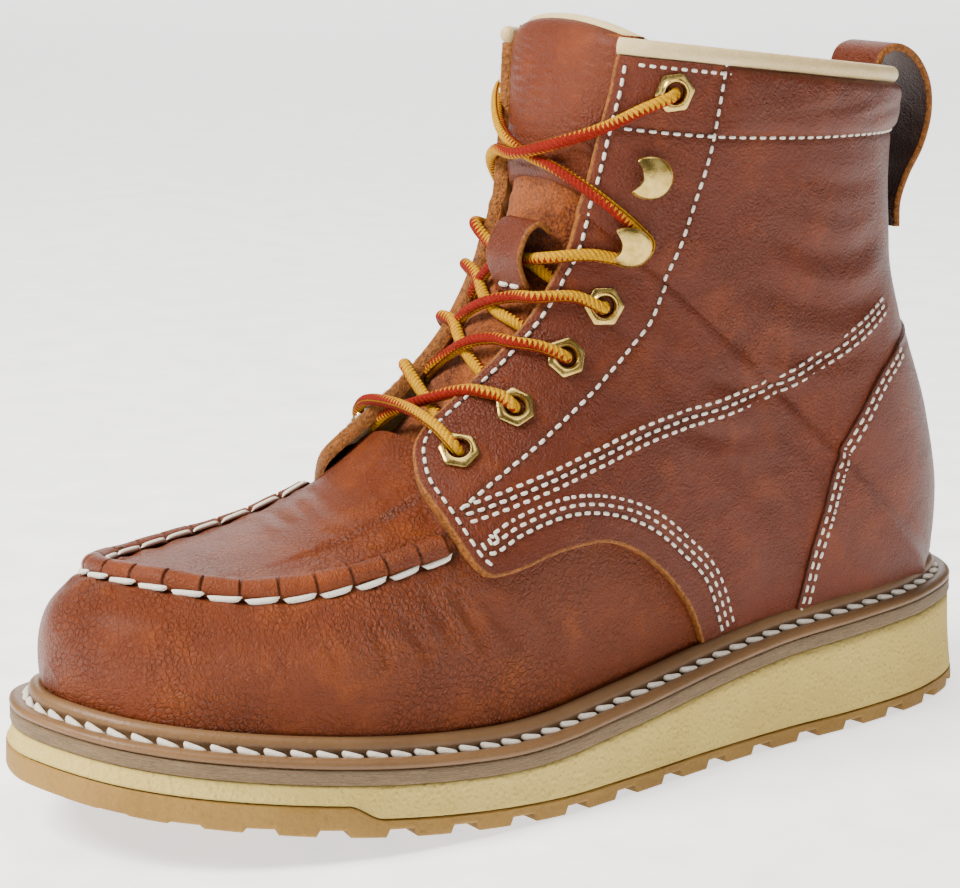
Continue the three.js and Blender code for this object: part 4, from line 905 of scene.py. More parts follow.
# Rows: growth over the sole's edge, height over the sole's top, and painted shade, darker at the flange's
# lower edge, in the groove, under the bead and on the hidden inner rows
weltRows = [(-0.5, 0.1, 0.7), (-0.05, 0.45, 0.2), (0.1, 1.1, 0), (-0.1, 1.75, 0), (-0.7, 2.25, 0),
            (-1.7, 2.55, 0),
            (-3.0, 2.6, 0.05), (-3.9, 2.35, 0.3), (-4.6, 1.6, 0.8), (-5.2, 1.5, 0.9)]
for angle in np.linspace(205, 20, 14):
    a = math.radians(angle)
    weltRows.append((-beadMiddle - beadRound * math.cos(a), beadHigh + beadRound * math.sin(a),
                     0.55 if angle > 190 else 0))
weltRows += [(-10.8, 3.5, 0.9), (-11.5, 0.2, 1.0)]
sweptLayer("welt_rope", [(grow, lambda y, r, high=high: soleTop(y) + high) for grow, high, _ in weltRows],
           looks["welt"],
           ["welt"], shade=[s for _, _, s in weltRows])

ropeX, ropeY = soleEdge(around, 4.55)
ropeLine = np.stack([ropeX, ropeY, soleTop(ropeY) + 2.75], -1)
outX, outY = soleEdge(around, 0.0)
ropeOut = np.stack([outX - ropeX, outY - ropeY, np.full_like(outX, 3.4)], -1)
ropeStitches = stitches(ropeLine, ropeOut, weltLook["stitchPitch"], 0.96, 1.1, 0.15, slant=0.85, around=10,
                        steps=11, bow=-0.7)
makePiece("welt_stitches", [ropeStitches], looks["white"])
print("sole made")


# The vamp and the toe's plug are one skin over the last. Its rear edge lies at the throat between
# the stays and runs on under the quarters outside them.
vampLook = {"throat": -0.1375, "under": 0.5, "rows": 284, "columns": 330}
seamLine = throughPoints(seamPath * [width, length], 700)
seamAt = seekPlan(seamLine)
seamOn = onLast(seamAt[:, 0], seamAt[:, 1], 0.0)
seamUp = normalAt(seamAt[:, 0], seamAt[:, 1])
seamRun = np.concatenate([[0], np.cumsum(np.linalg.norm(np.diff(seamOn, axis=0), axis=1))])
gathers = {"pitch": 9.3}
gatherCount = int(round(seamRun[-1] / gathers["pitch"]))

# Creases of the vamp in side view (shares of the length and the collar's height), depth and breadth in mm
vampCreases = [
    ([[-0.232, 0.30], [-0.215, 0.26], [-0.205, 0.215]], 0.55, 1.7), ([[-0.262, 0.305], [-0.25, 0.262],
            [-0.245, 0.22]], 0.4, 1.5),
    ([[-0.205, 0.325], [-0.188, 0.28], [-0.176, 0.235]], 0.6, 1.9), ([[-0.178, 0.31], [-0.158, 0.265],
            [-0.15, 0.225]], 0.5, 1.8),
    ([[-0.30, 0.29], [-0.292, 0.255], [-0.29, 0.225]], 0.3, 1.4), ([[-0.145, 0.285], [-0.125, 0.255],
            [-0.11, 0.22]], 0.45, 1.9),
    ([[-0.10, 0.29], [-0.07, 0.25], [-0.055, 0.21]], 0.35, 2.0), ([[-0.335, 0.27], [-0.33, 0.235]], 0.25,
            1.3)]
plugCreases = [
    ([[0.02, -0.185], [0.11, -0.178], [0.2, -0.19], [0.27, -0.2]], 0.45, 1.7),
               ([[-0.22, -0.19], [-0.12, -0.2], [0.0, -0.21], [0.1, -0.214]], 0.5, 1.9),
    ([[0.05, -0.235], [0.14, -0.228], [0.24, -0.236]], 0.4, 1.7), ([[-0.24, -0.225], [-0.13, -0.238],
            [-0.02, -0.245]], 0.4, 1.8),
    ([[0.1, -0.265], [0.19, -0.262], [0.25, -0.268]], 0.28, 1.5), ([[-0.05, -0.165], [0.06, -0.16],
            [0.16, -0.165]], 0.35, 1.4)]


# The plug lies flatter than the last: its points sink towards the chord between the two branches of
# the seam at the same y, by 1 - keep of their height over it
plugLook = {"keep": [[-130, 0.2], [-100, 0.3], [-70, 0.42], [-52, 0.52], [-36, 0.6]], "blend": 5.0}


def plugDrop(points):
    turn = int(np.argmin(seamOn[:, 1]))
    lateral, medial = seamOn[:turn + 1][::-1], seamOn[turn:]
    y = np.clip(points[..., 1], seamOn[turn, 1] + 0.3, -51)
    xl, zl = np.interp(y, lateral[:, 1], lateral[:, 0]), np.interp(y, lateral[:, 1], lateral[:, 2])
    xm, zm = np.interp(y, medial[:, 1], medial[:, 0]), np.interp(y, medial[:, 1], medial[:, 2])
    t = (points[..., 0] - xm) / np.maximum(xl - xm, 0.5)
    rows = np.array(plugLook["keep"], float)
    keep = np.interp(points[..., 1], rows[:, 0], rows[:, 1])
    behind = np.maximum(points[..., 1] + 51, 0)
    over = points[..., 2] - (zm + (zl - zm) * np.clip(t, 0, 1)) - 1.25 * behind
    return np.where((t > 0) & (t < 1) & (points[..., 1] > seamOn[turn, 1]), np.maximum(over,
            0) * (1 - keep), 0)


def vampSkin():
    v = np.linspace(-1, 1, vampLook["columns"])
    s = np.linspace(0, 1, lastGrid["rows"])[130:330]
    spots = lookUp(lastPoints, s[:, None] * np.ones_like(v), np.ones_like(s)[:, None] * v)
    throat = np.array([np.interp(vampLook["throat"] * length, spots[:, j, 1], s) for j in range(len(v))])
    aside = ease((np.abs(v + 0.0) - 0.2) / 0.06)
    end = throat * (1 - aside) + vampLook["under"] * aside
    a = np.linspace(0, 1, vampLook["rows"])[:, None] ** 0.93
    grid = a * end, np.broadcast_to(v, (len(a), len(v)))
    points, normals = onLast(*grid), normalAt(*grid)
    d, at = nearLine(points, seamOn)
    gather = 0.5 + 0.5 * np.cos(2 * np.pi * (at * gatherCount))
    lift = (-0.9 * np.exp(-((d - 3.4) / 1.5) ** 2) * (0.35 + 0.65 * gather)
            + 0.55 * np.exp(-((d - 6.6) / 2.6) ** 2) * (1 - gather))
    for rows, depth, breadth in vampCreases:
        line, _ = lineOn(rows, 1, 0.0, 30)
        lift = lift + crease(points, line, depth, breadth)
        line, _ = lineOn(rows, -1, 0.0, 30)
        lift = lift + crease(points, line, depth * 0.8, breadth)
    for rows, depth, breadth in plugCreases:
        spot = seekPlan(throughPoints(np.array(rows) * [width, length], 30))
        lift = lift + crease(points, onLast(spot[:, 0], spot[:, 1]), depth, breadth)
    ripple = np.sin(points[..., 1] / 2.3 + 0.8 * np.sin(points[..., 0] / 5.0)) * np.sin(points[...,
            0] / 6.1 + points[..., 2] / 7.0)
    lift = lift + 0.09 * ripple * ease((points[..., 1] + 125) / 30) * ease((-25 - points[..., 1]) / 20)
    # painted shade: darker in the trough beside the seam, most at the gathers
    shade = 0.75 * np.exp(-((d - 3.0) / 1.3) ** 2) * (0.45 + 0.55 * gather)
    # painted highlight: lighter on the raised puffs between the gathers
    worn = np.exp(-((d - 7) / 4) ** 2) * 0.25 * (1 - gather)
    drop = plugDrop(points)
    points = points + normals * lift[..., None]
    points[..., 2] -= drop
    faces = turned(points.reshape(-1, 3), gridFaces(*points.shape[:2]), normals.reshape(-1, 3))
    return {"points": points, "faces": faces, "values": {"shade": shade, "worn": worn, "edge": 0.0}}


def toeCap():
    v = np.linspace(-1, 1, vampLook["columns"])
    ring = lookUp(lastPoints, np.zeros_like(v), v)
    low = ring[[0, -1]].mean(0)
    points = np.stack([ring, np.broadcast_to(low, ring.shape)])
    return {"points": points, "faces": turned(points.reshape(-1, 3), gridFaces(*points.shape[:2]),
                                              np.tile([0, -1.0, 0], (points.size // 3, 1)))}


makePiece("vamp", [vampSkin(), toeCap()], looks["vamp"], ["upper"])

# The rolled seam round the plug: pillows of leather, parted where the thread pulls them in
ridgeLook = {"breadth": 3.1, "height": 3.3, "samples": 1700}


def ridgeSkin():
    n = ridgeLook["samples"]
    u = np.linspace(0, 1, n)
    path = np.stack([np.interp(u, seamRun / seamRun[-1], seamOn[:, c]) for c in range(3)], 1)
    up = np.stack([np.interp(u, seamRun / seamRun[-1], seamUp[:, c]) for c in range(3)], 1)
    phase = np.abs(((u * gatherCount) % 1) - 0.5) * 2
    pinch = np.exp(-((1 - phase) / 0.075) ** 2)
    uneven = 0.08 * np.sin(u * gatherCount * 1.7 + 0.4) + 0.05 * np.sin(u * gatherCount * 4.1)
    high = ridgeLook["height"] * (1 - 0.24 * pinch + 0.5 * uneven) * ease(u / 0.012) * ease((1 - u) / 0.012)
    wide = ridgeLook["breadth"] * (1 - 0.12 * pinch + uneven * 0.5)
    angle = np.linspace(-0.25, np.pi + 0.25, 19)
    x = np.cos(angle)[None] * wide[:, None]
    z = np.sign(np.sin(angle))[None] * np.abs(np.sin(angle))[None] ** 0.85 * high[:, None] - 0.2
    points, faces = carried(path, up, np.stack([x, z], -1), closeProfile=False)
    # painted shade at the pinches and down the pillows' flanks
    shade = np.maximum(pinch[:, None] * 0.9, np.clip(1 - z / 1.1, 0, 1) * 0.6)
    # painted highlight on the pillows' tops
    worn = (1 - pinch[:, None]) * np.clip(np.sin(angle), 0, 1)[None] ** 3 * 0.35
    faces = turned(points.reshape(-1, 3), faces, np.repeat(up, len(angle), 0))
    return {"points": points, "faces": faces, "values": {"shade": shade, "worn": worn, "edge": 0.0}}


makePiece("moc_ridge", [ridgeSkin()], looks["ridge"], ["moc_seam"])
print("vamp and ridge made")


# Thick thread: one leaning crescent to each gather, at an offset from the seam, for the whole seam or
# only where its x lies below a limit
def ridgeThread(offset, rise, share, girth, slant, bow=0.0, limit=None):
    side = np.cross(np.gradient(seamOn, axis=0), seamUp)
    side /= np.linalg.norm(side, axis=1)[:, None]
    outward = np.sign((side * (seamOn - seamOn.mean(0))).sum(1).mean())
    line = seamOn + side * outward * offset + seamUp * rise
    up = seamUp + side * outward * (0.9 if offset > 0 else -0.5)
    keep = np.ones(len(line), bool) if limit is None else seamOn[:, 0] < limit
    return stitches(line[keep], up[keep], seamRun[-1] / gatherCount, share, girth, 0.1, slant * outward, 9,
                    9, bow)


makePiece("ridge_thread", [ridgeThread(3.5, 0.3, 0.96, 0.85, 0.35, -0.7), ridgeThread(-3.6, -0.3, 0.95, 0.8,
        -0.35, 0.5, -12.0)],
          looks["white"])
# dark dashes where the thread sinks into the ridge: painted shade
makePiece("ridge_dash_shade", [ridgeThread(-2.4, 1.2, 0.3, 0.4, 0.0)], looks["dark"])

def collarZ(y, shift=0.0):
    return collar + shift - boot["collarDrop"] * (y - 0.018 * length) / boot["collarLean"]


# The collar's line on the last from the stays' tops to the heel's back
def collarCurve(side, count, shift=0.0, fromShare=0.0339):
    y0 = fromShare * length
    vs = np.concatenate([np.linspace(0.1, 1.0, 160)]) * side
    s = np.linspace(0.78, 1.0, 240)
    p = lookUp(lastPoints, s[:, None] * np.ones(len(vs)), np.ones(len(s))[:, None] * vs)
    off = p[..., 2] - collarZ(p[..., 1], shift)
    found = np.array([np.interp(0.0, off[:, j], s) for j in range(len(vs))])
    at = lookUp(lastPoints, found, vs)
    first = np.argmax(at[:, 1] >= y0)
    if first > 0:
        f = (y0 - at[first - 1, 1]) / (at[first, 1] - at[first - 1, 1])
        head = [[found[first - 1] + f * (found[first] - found[first - 1]),
                 vs[first - 1] + f * (vs[first] - vs[first - 1])]]
    else:
        head = []
    line = np.vstack([head, np.stack([found[first:], vs[first:]], 1)]) if head else np.stack([found, vs], 1)
    return spaced(line, count)


# A line in the last's coordinates spread evenly by its length on the last
def spaced(line, count):
    p = onLast(line[:, 0], line[:, 1])
    run = np.concatenate([[0], np.cumsum(np.linalg.norm(np.diff(p, axis=0), axis=1))])
    at = np.linspace(0, run[-1], count)
    return np.stack([np.interp(at, run, line[:, c]) for c in (0, 1)], 1)


# A patch between a near and a far curve: straight in the last's coordinates, bent to its two end
# curves where given, with columns at set distances from the near edge and then even
def patch(near, far, topLine=None, edgeAt=(0, 0, 0.12, 0.35, 0.8, 1.6), columns=120):
    n = len(near)
    b = np.linspace(0, 1, 160)[None, :, None]
    sv = near[:, None] * (1 - b) + far[:, None] * b
    if topLine is not None:
        a = (np.linspace(0, 1, n) ** 3)[:, None, None]
        sv = sv + a * (spacedPlain(topLine, 160)[None] - sv[-1:])
    p = onLast(sv[..., 0], sv[..., 1])
    run = np.concatenate([np.zeros((n, 1)), np.cumsum(np.linalg.norm(np.diff(p, axis=1), axis=2), axis=1)],
                         axis=1)
    edge = np.array(edgeAt, float)
    even = np.linspace(0, 1, columns + 1)[1:]
    out = np.empty((n, len(edge) + columns, 2))
    far_ = np.empty((n, len(edge) + columns))
    for i in range(n):
        size = run[i, -1]
        at = np.concatenate([np.minimum(edge, size), edge[-1] + (max(size - edge[-1], 0)) * even])
        at = np.minimum(at, size)
        far_[i] = at
        out[i, :, 0] = np.interp(at, run[i], sv[i, :, 0])
        out[i, :, 1] = np.interp(at, run[i], sv[i, :, 1])
    return out, far_


def spacedPlain(line, count):
    at = np.linspace(0, len(line) - 1, count)
    return np.stack([np.interp(at, np.arange(len(line)), line[:, c]) for c in (0, 1)], 1)


# Side view lines in millimetres for stitch rows, seams and folds of the quarter
quarterRows = {
    "archInner": [[-42.5, 73], [-40.8, 69.9], [-28.9, 73.5], [-12.8, 76.2], [2.4, 73.9], [14.7, 68.5],
                  [25, 60.4], [34, 51.5], [41.7, 34.8]],
    "triple": [[-44.3, 79.1], [-33.8, 81.3], [-13.6, 86.1], [17.4, 94.1], [56.5, 101.7], [101.6, 121]],
    "stayBack": [[36.6, 195], [34.2, 173.8], [31.7, 160.4], [26.7, 142.6], [20.6, 125.5], [6.8, 111.6],
                 [-15.4, 96.4], [-45.2, 80.1]],
    "cuff": [[11.2, 176.5], [34.2, 173.8], [64.1, 171.9], [90, 170.9], [113, 169.7]],
}
quarterFolds = [
    ([[50, 150], [66, 141], [86, 138], [104, 142]], 0.7, 3.2), ([[46, 136], [64, 127], [84, 123],
            [104, 126]], 0.8, 3.4),
    ([[40, 122], [60, 113], [82, 108], [100, 112]], 0.6, 3.0), ([[30, 108], [50, 103], [74, 97]], 0.5, 2.8),
    ([[22, 96], [40, 90], [58, 88]], 0.4, 2.4), ([[60, 163], [78, 158], [100, 158]], 0.4, 2.6),
    ([[-10, 92], [4, 95], [20, 102]], 0.3, 2.0), ([[56, 84], [66, 76], [72, 66]], 0.4, 2.4)]


# The soft shape of the quarter's leather at points of the last: listed folds and a slow unevenness
def quarterRelief(points, side):
    lift = np.zeros(points.shape[:-1])
    for rows, depth, breadth in quarterFolds:
        line, _ = lineOn(rows, side, 0.0, 24, shares=False)
        lift = lift + crease(points, line, depth, breadth)
    wave = np.sin(points[..., 1] / 7.0 + 1.4 * np.sin(points[..., 2] / 11.0)) * np.sin(points[...,
            2] / 6.0 + points[..., 1] / 15.0)
    return lift + 0.13 * wave


# Four curves in the last's coordinates bound a patch: each point is the sum of the two blends
# between opposite curves less the blend of the four corners
def fourSided(bottom, top, front, back, rows, cols, edgeAt=(0, 0, 0.12, 0.35, 0.8, 1.6)):
    a, b = np.linspace(0, 1, rows)[:, None, None], np.linspace(0, 1, cols)[None, :, None]
    bottom, top, front, back = spaced(bottom, cols), spaced(top, cols), spaced(front, rows), spaced(back,
            rows)
    flat = ((1 - a) * bottom[None] + a * top[None] + (1 - b) * front[:, None] + b * back[:, None]
            - (1 - a) * (1 - b) * bottom[0] - (1 - a) * b * bottom[-1]
            - a * (1 - b) * top[0] - a * b * top[-1])
    for _ in range(2):
        flat = flat.transpose(1, 0, 2)
        p = onLast(flat[..., 0], flat[..., 1])
        run = np.concatenate([np.zeros((len(p), 1)), np.cumsum(np.linalg.norm(np.diff(p, axis=1), axis=2),
                axis=1)], axis=1)
        edge = np.array(edgeAt)
        share = np.linspace(0, 1, flat.shape[1] - len(edge) + 1)[1:]
        at = np.concatenate([np.broadcast_to(edge, (len(p), len(edge))),
                             edge[-1] + (run[:, -1:] - edge[-1]) * share], 1)
        flat = np.stack([np.stack([np.interp(at[i], run[i], flat[i, :, c]) for c in (0, 1)],
                                  -1) for i in range(len(p))])
    return flat


edgeRoll = np.array([0.0, 0.6, 0.86, 0.97, 1.0, 1.0])


def quarterSkin(side):
    corner = np.vstack([stayFoot[-1:], archLine])
    arch = seek(sideView(corner, 90), side)
    welt = np.stack([np.linspace(arch[-1, 0], 0.66, 120), np.full(120, side, float)], 1)[1:]
    arch[-1, 1] = side
    top = collarCurve(side, 160, -2.6)
    front = seek(sideView(np.vstack([stayFoot[::-1], stayFront]), 160), side)
    front = np.vstack([front[front[:, 0] < top[0, 0]], top[:1]])
    back = np.stack([np.linspace(0.66, top[-1, 0], 300), np.full(300, side, float)], 1)
    grid = fourSided(np.vstack([arch, welt]), top, front, back, 230, 220)
    points, normals = onLast(grid[..., 0], grid[..., 1]), normalAt(grid[..., 0], grid[..., 1])
    border = onLast(*np.vstack([welt[3::-1], arch[::-1], front]).T)
    dist, _ = nearLine(points, border)
    roll = np.ones(dist.shape)
    roll[:6] = np.minimum(roll[:6], edgeRoll[:, None])
    roll[:, :6] = np.minimum(roll[:, :6], edgeRoll)
    lift = panelLift * roll + quarterRelief(points, side) * ease(dist / 4)
    shade = np.zeros(dist.shape)
    for key, depth, breadth in (("archInner", 0.3, 1.0), ("triple", 0.4, 1.2), ("stayBack", 0.3, 1.0),
                                ("cuff", 0.5, 1.2)):
        line, _ = lineOn(quarterRows[key], side, 0.0, 60, shares=False)
        d, _ = nearLine(points, line)
        lift = lift - depth * np.exp(-(d / breadth) ** 2)
        # painted shade along the pressed-in grooves of the stitch rows
        shade = np.maximum(shade, 0.3 * np.exp(-(d / breadth) ** 2))
    edge = np.exp(-(dist / 0.9) ** 2)
    edge[0], edge[:, 0] = 0.55, 0.55
    points = points + normals * lift[..., None]
    faces = turned(points.reshape(-1, 3), gridFaces(*points.shape[:2]), normals.reshape(-1, 3))
    return {"points": points, "faces": faces, "values": {"edge": edge, "shade": shade,
            "worn": 0.12 * np.exp(-(dist / 5) ** 2)}}


for sideName, sign in sides.items():
    makePiece("quarter_leather_" + sideName, [quarterSkin(sign)], looks["quarter"], ["quarter_" + sideName])
print("quarters made")


def counterSkin(side):
    front = seek(sideView(counterLine, 120), side)[::-1]
    topEnd = seek(sideView(np.array([[0.3546, 0.5462], [0.40, 0.566], [0.44, 0.585], [0.468, 0.602]]), 60),
                  side)[1:]
    last = np.array([[topEnd[-1, 0] + 0.004, side]])
    near = spaced(np.vstack([front, topEnd, last]), 220)
    near[0, 1] = min(abs(near[0, 1]) + 0.02, 1) * side
    back = spaced(np.stack([np.linspace(near[0, 0], near[-1, 0], 300), np.full(300, side, float)], 1), 220)
    grid, dist = patch(near, back, columns=70)
    points, normals = onLast(grid[..., 0], grid[..., 1]), normalAt(grid[..., 0], grid[..., 1])
    roll = np.ones(dist.shape)
    roll[:, :6] = [0.0, 0.55, 0.85, 0.97, 1.0, 1.0]
    lift = 1.65 + 1.0 * roll - 0.22 * np.exp(-((dist - 2.6) / 1.6) ** 2) + quarterRelief(points, side) * 0.6
    points = points + normals * lift[..., None]
    faces = turned(points.reshape(-1, 3), gridFaces(*points.shape[:2]), normals.reshape(-1, 3))
    # painted shade: a dark line along the counter's front edge
    return {"points": points, "faces": faces, "values": {
        "edge": 0.0, "shade": 0.7 * np.exp(-(dist / 0.5) ** 2), "worn": 0.1 * np.exp(-(dist / 5) ** 2)}}


for sideName, sign in sides.items():
    makePiece("counter_leather_" + sideName, [counterSkin(sign)], looks["quarter"], ["counter_" + sideName])
print("counters made")


# The padded cuff: both halves of the collar's band in one skin, fuller in its middle than at its seams
def cuffSkin():
    halves = []
    for side in (1, -1):
        low = np.vstack([seek(sideView(cuffLine, 60), side), [[0.9375, side]]])
        low = spaced(low, 150)
        top = collarCurve(side, 150, -2.6, 0.1225)
        a = np.linspace(0, 1, 60)[:, None, None]
        sv = low[None] * (1 - a) + top[None] * a
        halves.append((onLast(sv[..., 0], sv[..., 1]), normalAt(sv[..., 0], sv[..., 1])))
    points = np.concatenate([halves[0][0], halves[1][0][:, ::-1]], 1)
    normals = np.concatenate([halves[0][1], halves[1][1][:, ::-1]], 1)
    rows, cols = points.shape[:2]
    run = np.concatenate([[0], np.cumsum(np.linalg.norm(np.diff(points[30], axis=0), axis=1))])
    high = np.linspace(0, 1, rows)[:, None] * 33
    fromEnds = np.minimum(run, run[-1] - run)[None]
    near = np.minimum(np.minimum(fromEnds, high), (33 - high) * 1.4)
    swell = 1 - np.exp(-near / 3.2)
    wrinkle = (0.22 * np.sin(run[None] / 4.7 + 2.1 * np.sin(high / 5.0))
               * np.sin(high / 6.3 + run[None] / 22.0))
    lift = 1.55 + 2.3 * swell + wrinkle * swell
    points = points + normals * lift[..., None]
    # painted shade along the cuff's pinched seams and edges
    shade = 0.4 * np.exp(-near / 0.8)
    faces = turned(points.reshape(-1, 3), gridFaces(rows, cols), normals.reshape(-1, 3))
    return {"points": points, "faces": faces, "values": {"shade": shade, "worn": 0.0, "edge": 0.0}}


cuffPiece = makePiece("padded_cuff", [cuffSkin()], looks["cuff"], ["cuff"])


# The lining: the same patch as the quarter, inside the wall, with a few soft folds
def liningSkin(side):
    front = seek(sideView(stayFront, 120), side)
    top = collarCurve(side, 160, -1.2)
    front = front[front[:, 0] < top[0, 0]]
    near = spaced(np.vstack([front, top[:1]]), 150)
    back = spaced(np.stack([np.linspace(0.66, top[-1, 0], 300), np.full(300, side, float)], 1), 150)
    grid, dist = patch(near, back, top, edgeAt=(0, 0.1, 0.5, 1.5), columns=110)
    points, normals = onLast(grid[..., 0], grid[..., 1]), normalAt(grid[..., 0], grid[..., 1])
    fold = 0.35 * np.sin(dist / 6.5 + points[..., 2] / 17.0) * np.sin(points[...,
            2] / 8.0 + dist / 30.0) * ease(dist / 12)
    points = points + normals * (-boot["wall"] + fold)[..., None]
    faces = turned(points.reshape(-1, 3), gridFaces(*points.shape[:2]), -normals.reshape(-1, 3))
    # painted shade: darker towards the bottom inside the boot
    return {"points": points, "faces": faces, "values": {"shade": ease((120 - points[..., 2]) / 80) * 0.3}}


# Leather's own thickness at the stay's front, from the quarter's face round to the lining
def stayEdge(side):
    line = seek(sideView(np.vstack([stayFoot[::-1], stayFront]), 160), side)
    top = collarCurve(side, 8, -2.6)
    line = np.vstack([line[line[:, 0] < top[0, 0]], top[:1]])
    lifts = np.array([panelLift * 0.62, panelLift * 0.3, -0.3, -1.2, -boot["wall"] - 0.1])
    points = np.stack([onLast(line[:, 0], line[:, 1], lift) for lift in lifts], 1)
    ahead = np.gradient(points[:, 2], axis=0)
    up = normalAt(line[:, 0], line[:, 1])
    out = np.cross(ahead, up)
    out /= np.linalg.norm(out, axis=1)[:, None]
    if (out[:, 1].mean()) > 0:
        out = -out
    points = points + out[:, None] * np.array([-0.1, 0.15, 0.2, 0.15, -0.2])[None, :, None]
    faces = turned(points.reshape(-1, 3), gridFaces(*points.shape[:2]), np.repeat(out, len(lifts), 0))
    # painted shade: darker towards the inside of the edge
    return {"points": points, "faces": faces, "values": {"edge": 0.9, "shade": np.array([0.0, 0.1, 0.3,
            0.35, 0.5])[None] * np.ones((len(line), 1)), "worn": 0.0}}


for sideName, sign in sides.items():
    makePiece("lining_" + sideName, [liningSkin(sign)], looks["lining"])
    makePiece("stay_edge_" + sideName, [stayEdge(sign)], looks["quarter"])


def tube(path, radius, count=12, turns=None):
    along = np.gradient(path, axis=0)
    along /= np.maximum(np.linalg.norm(along, axis=1), 1e-9)[:, None]
    normal = np.zeros_like(path)
    first = np.cross(along[0], [0.3, 0.2, 1.0])
    normal[0] = first / np.linalg.norm(first)
    for i in range(1, len(path)):
        turned_ = normal[i - 1] - along[i] * np.dot(normal[i - 1], along[i])
        normal[i] = turned_ / np.linalg.norm(turned_)
    angle = np.arange(count) / count * 2 * np.pi
    radius = np.broadcast_to(radius, len(path))[:, None]
    profile = np.stack([np.cos(angle)[None] * radius, np.sin(angle)[None] * radius], -1)
    points, _ = carried(path, normal, profile)
    run = np.concatenate([[0], np.cumsum(np.linalg.norm(np.diff(path, axis=0), axis=1))])
    points = capped(points)
    faces = turned(points.reshape(-1, 3), gridFaces(len(points), count, closeCols=True))
    run = np.concatenate([run[:1], run, run[-1:]])
    return {"points": points, "faces": faces,
            "values": {"run": np.broadcast_to(run[:, None], points.shape[:2]),
                       "turn": np.broadcast_to(angle / (2 * np.pi), points.shape[:2])}}


# The collar's cream roll along both sides and round the heel
def collarRoll():
    lat, med = collarCurve(1, 170, -0.4), collarCurve(-1, 170, -0.4)
    line = np.vstack([lat, med[::-1]])
    centre = onLast(line[:, 0], line[:, 1], 0.0)
    up = normalAt(line[:, 0], line[:, 1])
    run = np.arange(len(line))
    centre = centre + up * (0.3 + 0.12 * np.sin(run / 5.0) * np.sin(run / 17.0))[:, None]
    angle = np.arange(18) / 18 * 2 * np.pi
    profile = np.stack([np.cos(angle) * 2.35, np.sin(angle) * 2.15], -1)
    points, _ = carried(evenly(centre, 420), evenly(up, 420), profile)
    points = capped(points)
    return {"points": points, "faces": turned(points.reshape(-1, 3), gridFaces(len(points), 18,
            closeCols=True))}


makePiece("collar_roll", [collarRoll()], looks["piping"])
print("cuff, lining and roll made")

# The tongue: suede below, a smooth padded leather top with a cream roll behind its edge
tongueLook = {"bottom": 0.372, "dip": 13.0, "padLow": 0.668, "top": 0.972, "press": 5.0, "padHalf": 0.172}


def tongueAt(s, v, lift):
    p = onLast(s, v, lift)
    up = np.clip((p[..., 2] - 0.48 * collar) / (0.47 * collar), 0, 1)
    across = np.maximum(1 - (p[..., 0] / (0.22 * width)) ** 2, 0)
    press = tongueLook["press"] * np.sin(np.pi * up) ** 2 * across
    p[..., 1] += np.where(p[..., 1] < 0.1 * length, press, 0)
    p[..., 2] -= tongueLook["dip"] * ease((0.475 - s) / 0.085) * across
    return p


def shell(s, v, front, back, extra=None):
    outer, inner = tongueAt(s, v, front), tongueAt(s, v, back)
    normals = normalAt(s, v)
    rows, cols = s.shape
    skins = []
    for points, way in ((outer, 1), (inner, -1)):
        faces = turned(points.reshape(-1, 3), gridFaces(rows, cols), way * normals.reshape(-1, 3))
        skins.append({"points": points, "faces": faces, "values": dict(extra or {}),
                      "finish": 0 if way > 0 else 1})
    return skins


def tongueSkins():
    a = np.linspace(0, 1, 150)[:, None]
    u = np.linspace(-1, 1, 90)[None]
    s = tongueLook["bottom"] + (tongueLook["top"] - 0.012 - tongueLook["bottom"]) * a + 0 * u
    half = np.interp(s, [0.37, 0.40, 0.5, 0.6, 0.72, 0.86, 0.95], [0.15, 0.2, 0.235, 0.2, 0.17, 0.19, 0.21])
    v = u * half
    edge = np.minimum(1, (1 - np.abs(u)) * 14)
    edge = np.sqrt(np.clip(1 - (1 - edge) ** 2, 0, 1))
    rough = 0.18 * np.sin(s * 260 + 3 * np.sin(v * 40)) * np.sin(v * 110 + 2 * np.sin(s * 90))
    front = tongueLift - 1.3 + 1.3 * edge + rough
    back = tongueLift - 1.3 - 1.5 * edge
    return shell(s, v, front, back, {"shade": 0.0})


def padSkins():
    n = 110
    a = np.linspace(-1, 1, n)[:, None]
    u = np.linspace(-1, 1, 100)[None]
    # a square grid pressed into a rounded shape, so that the corners are round
    ru = u * np.sqrt(1 - 0.18 * np.abs(a) ** 6)
    ra = a * np.sqrt(1 - 0.12 * np.abs(u) ** 6)
    lowS, topS = tongueLook["padLow"], tongueLook["top"]
    sag = -0.03 * np.abs(ru) ** 2
    s = (lowS + topS) / 2 + ra * (topS - lowS) / 2 + sag * (ra + 1) / 2
    wide = np.interp(s, [0.66, 0.8, 0.9, 0.97], [0.16, 0.19, 0.24, 0.275])
    v = ru * wide
    near = np.minimum((1 - np.abs(u)) * 26, (1 - np.abs(a)) * 27) * np.ones_like(s)
    swell = np.sqrt(np.clip(1 - (1 - np.minimum(near / 4.5, 1)) ** 2, 0, 1))
    soft = 1 - np.exp(-near / 7)
    wrinkle = 0.15 * np.sin(s * 330 + 4 * v * 9) * np.sin(v * 60 + s * 40) * soft
    front = tongueLift - 1.5 + 2.3 * swell + 1.1 * soft + wrinkle
    back = tongueLift - 1.5 - 2.6 * swell
    ring = np.vstack([np.stack([s[:, 0], v[:, 0]], 1), np.stack([s[-1], v[-1]], 1)[1:],
                      np.stack([s[:, -1], v[:, -1]], 1)[::-1][1:]])
    # painted shade at the pad's edges, painted highlight along its rounded shoulder
    return shell(s, v, front, back, {"shade": 0.35 * np.exp(-near / 0.8),
                                     "worn": 0.1 * np.exp(-((near - 4) / 3) ** 2), "edge": 0.0}), ring


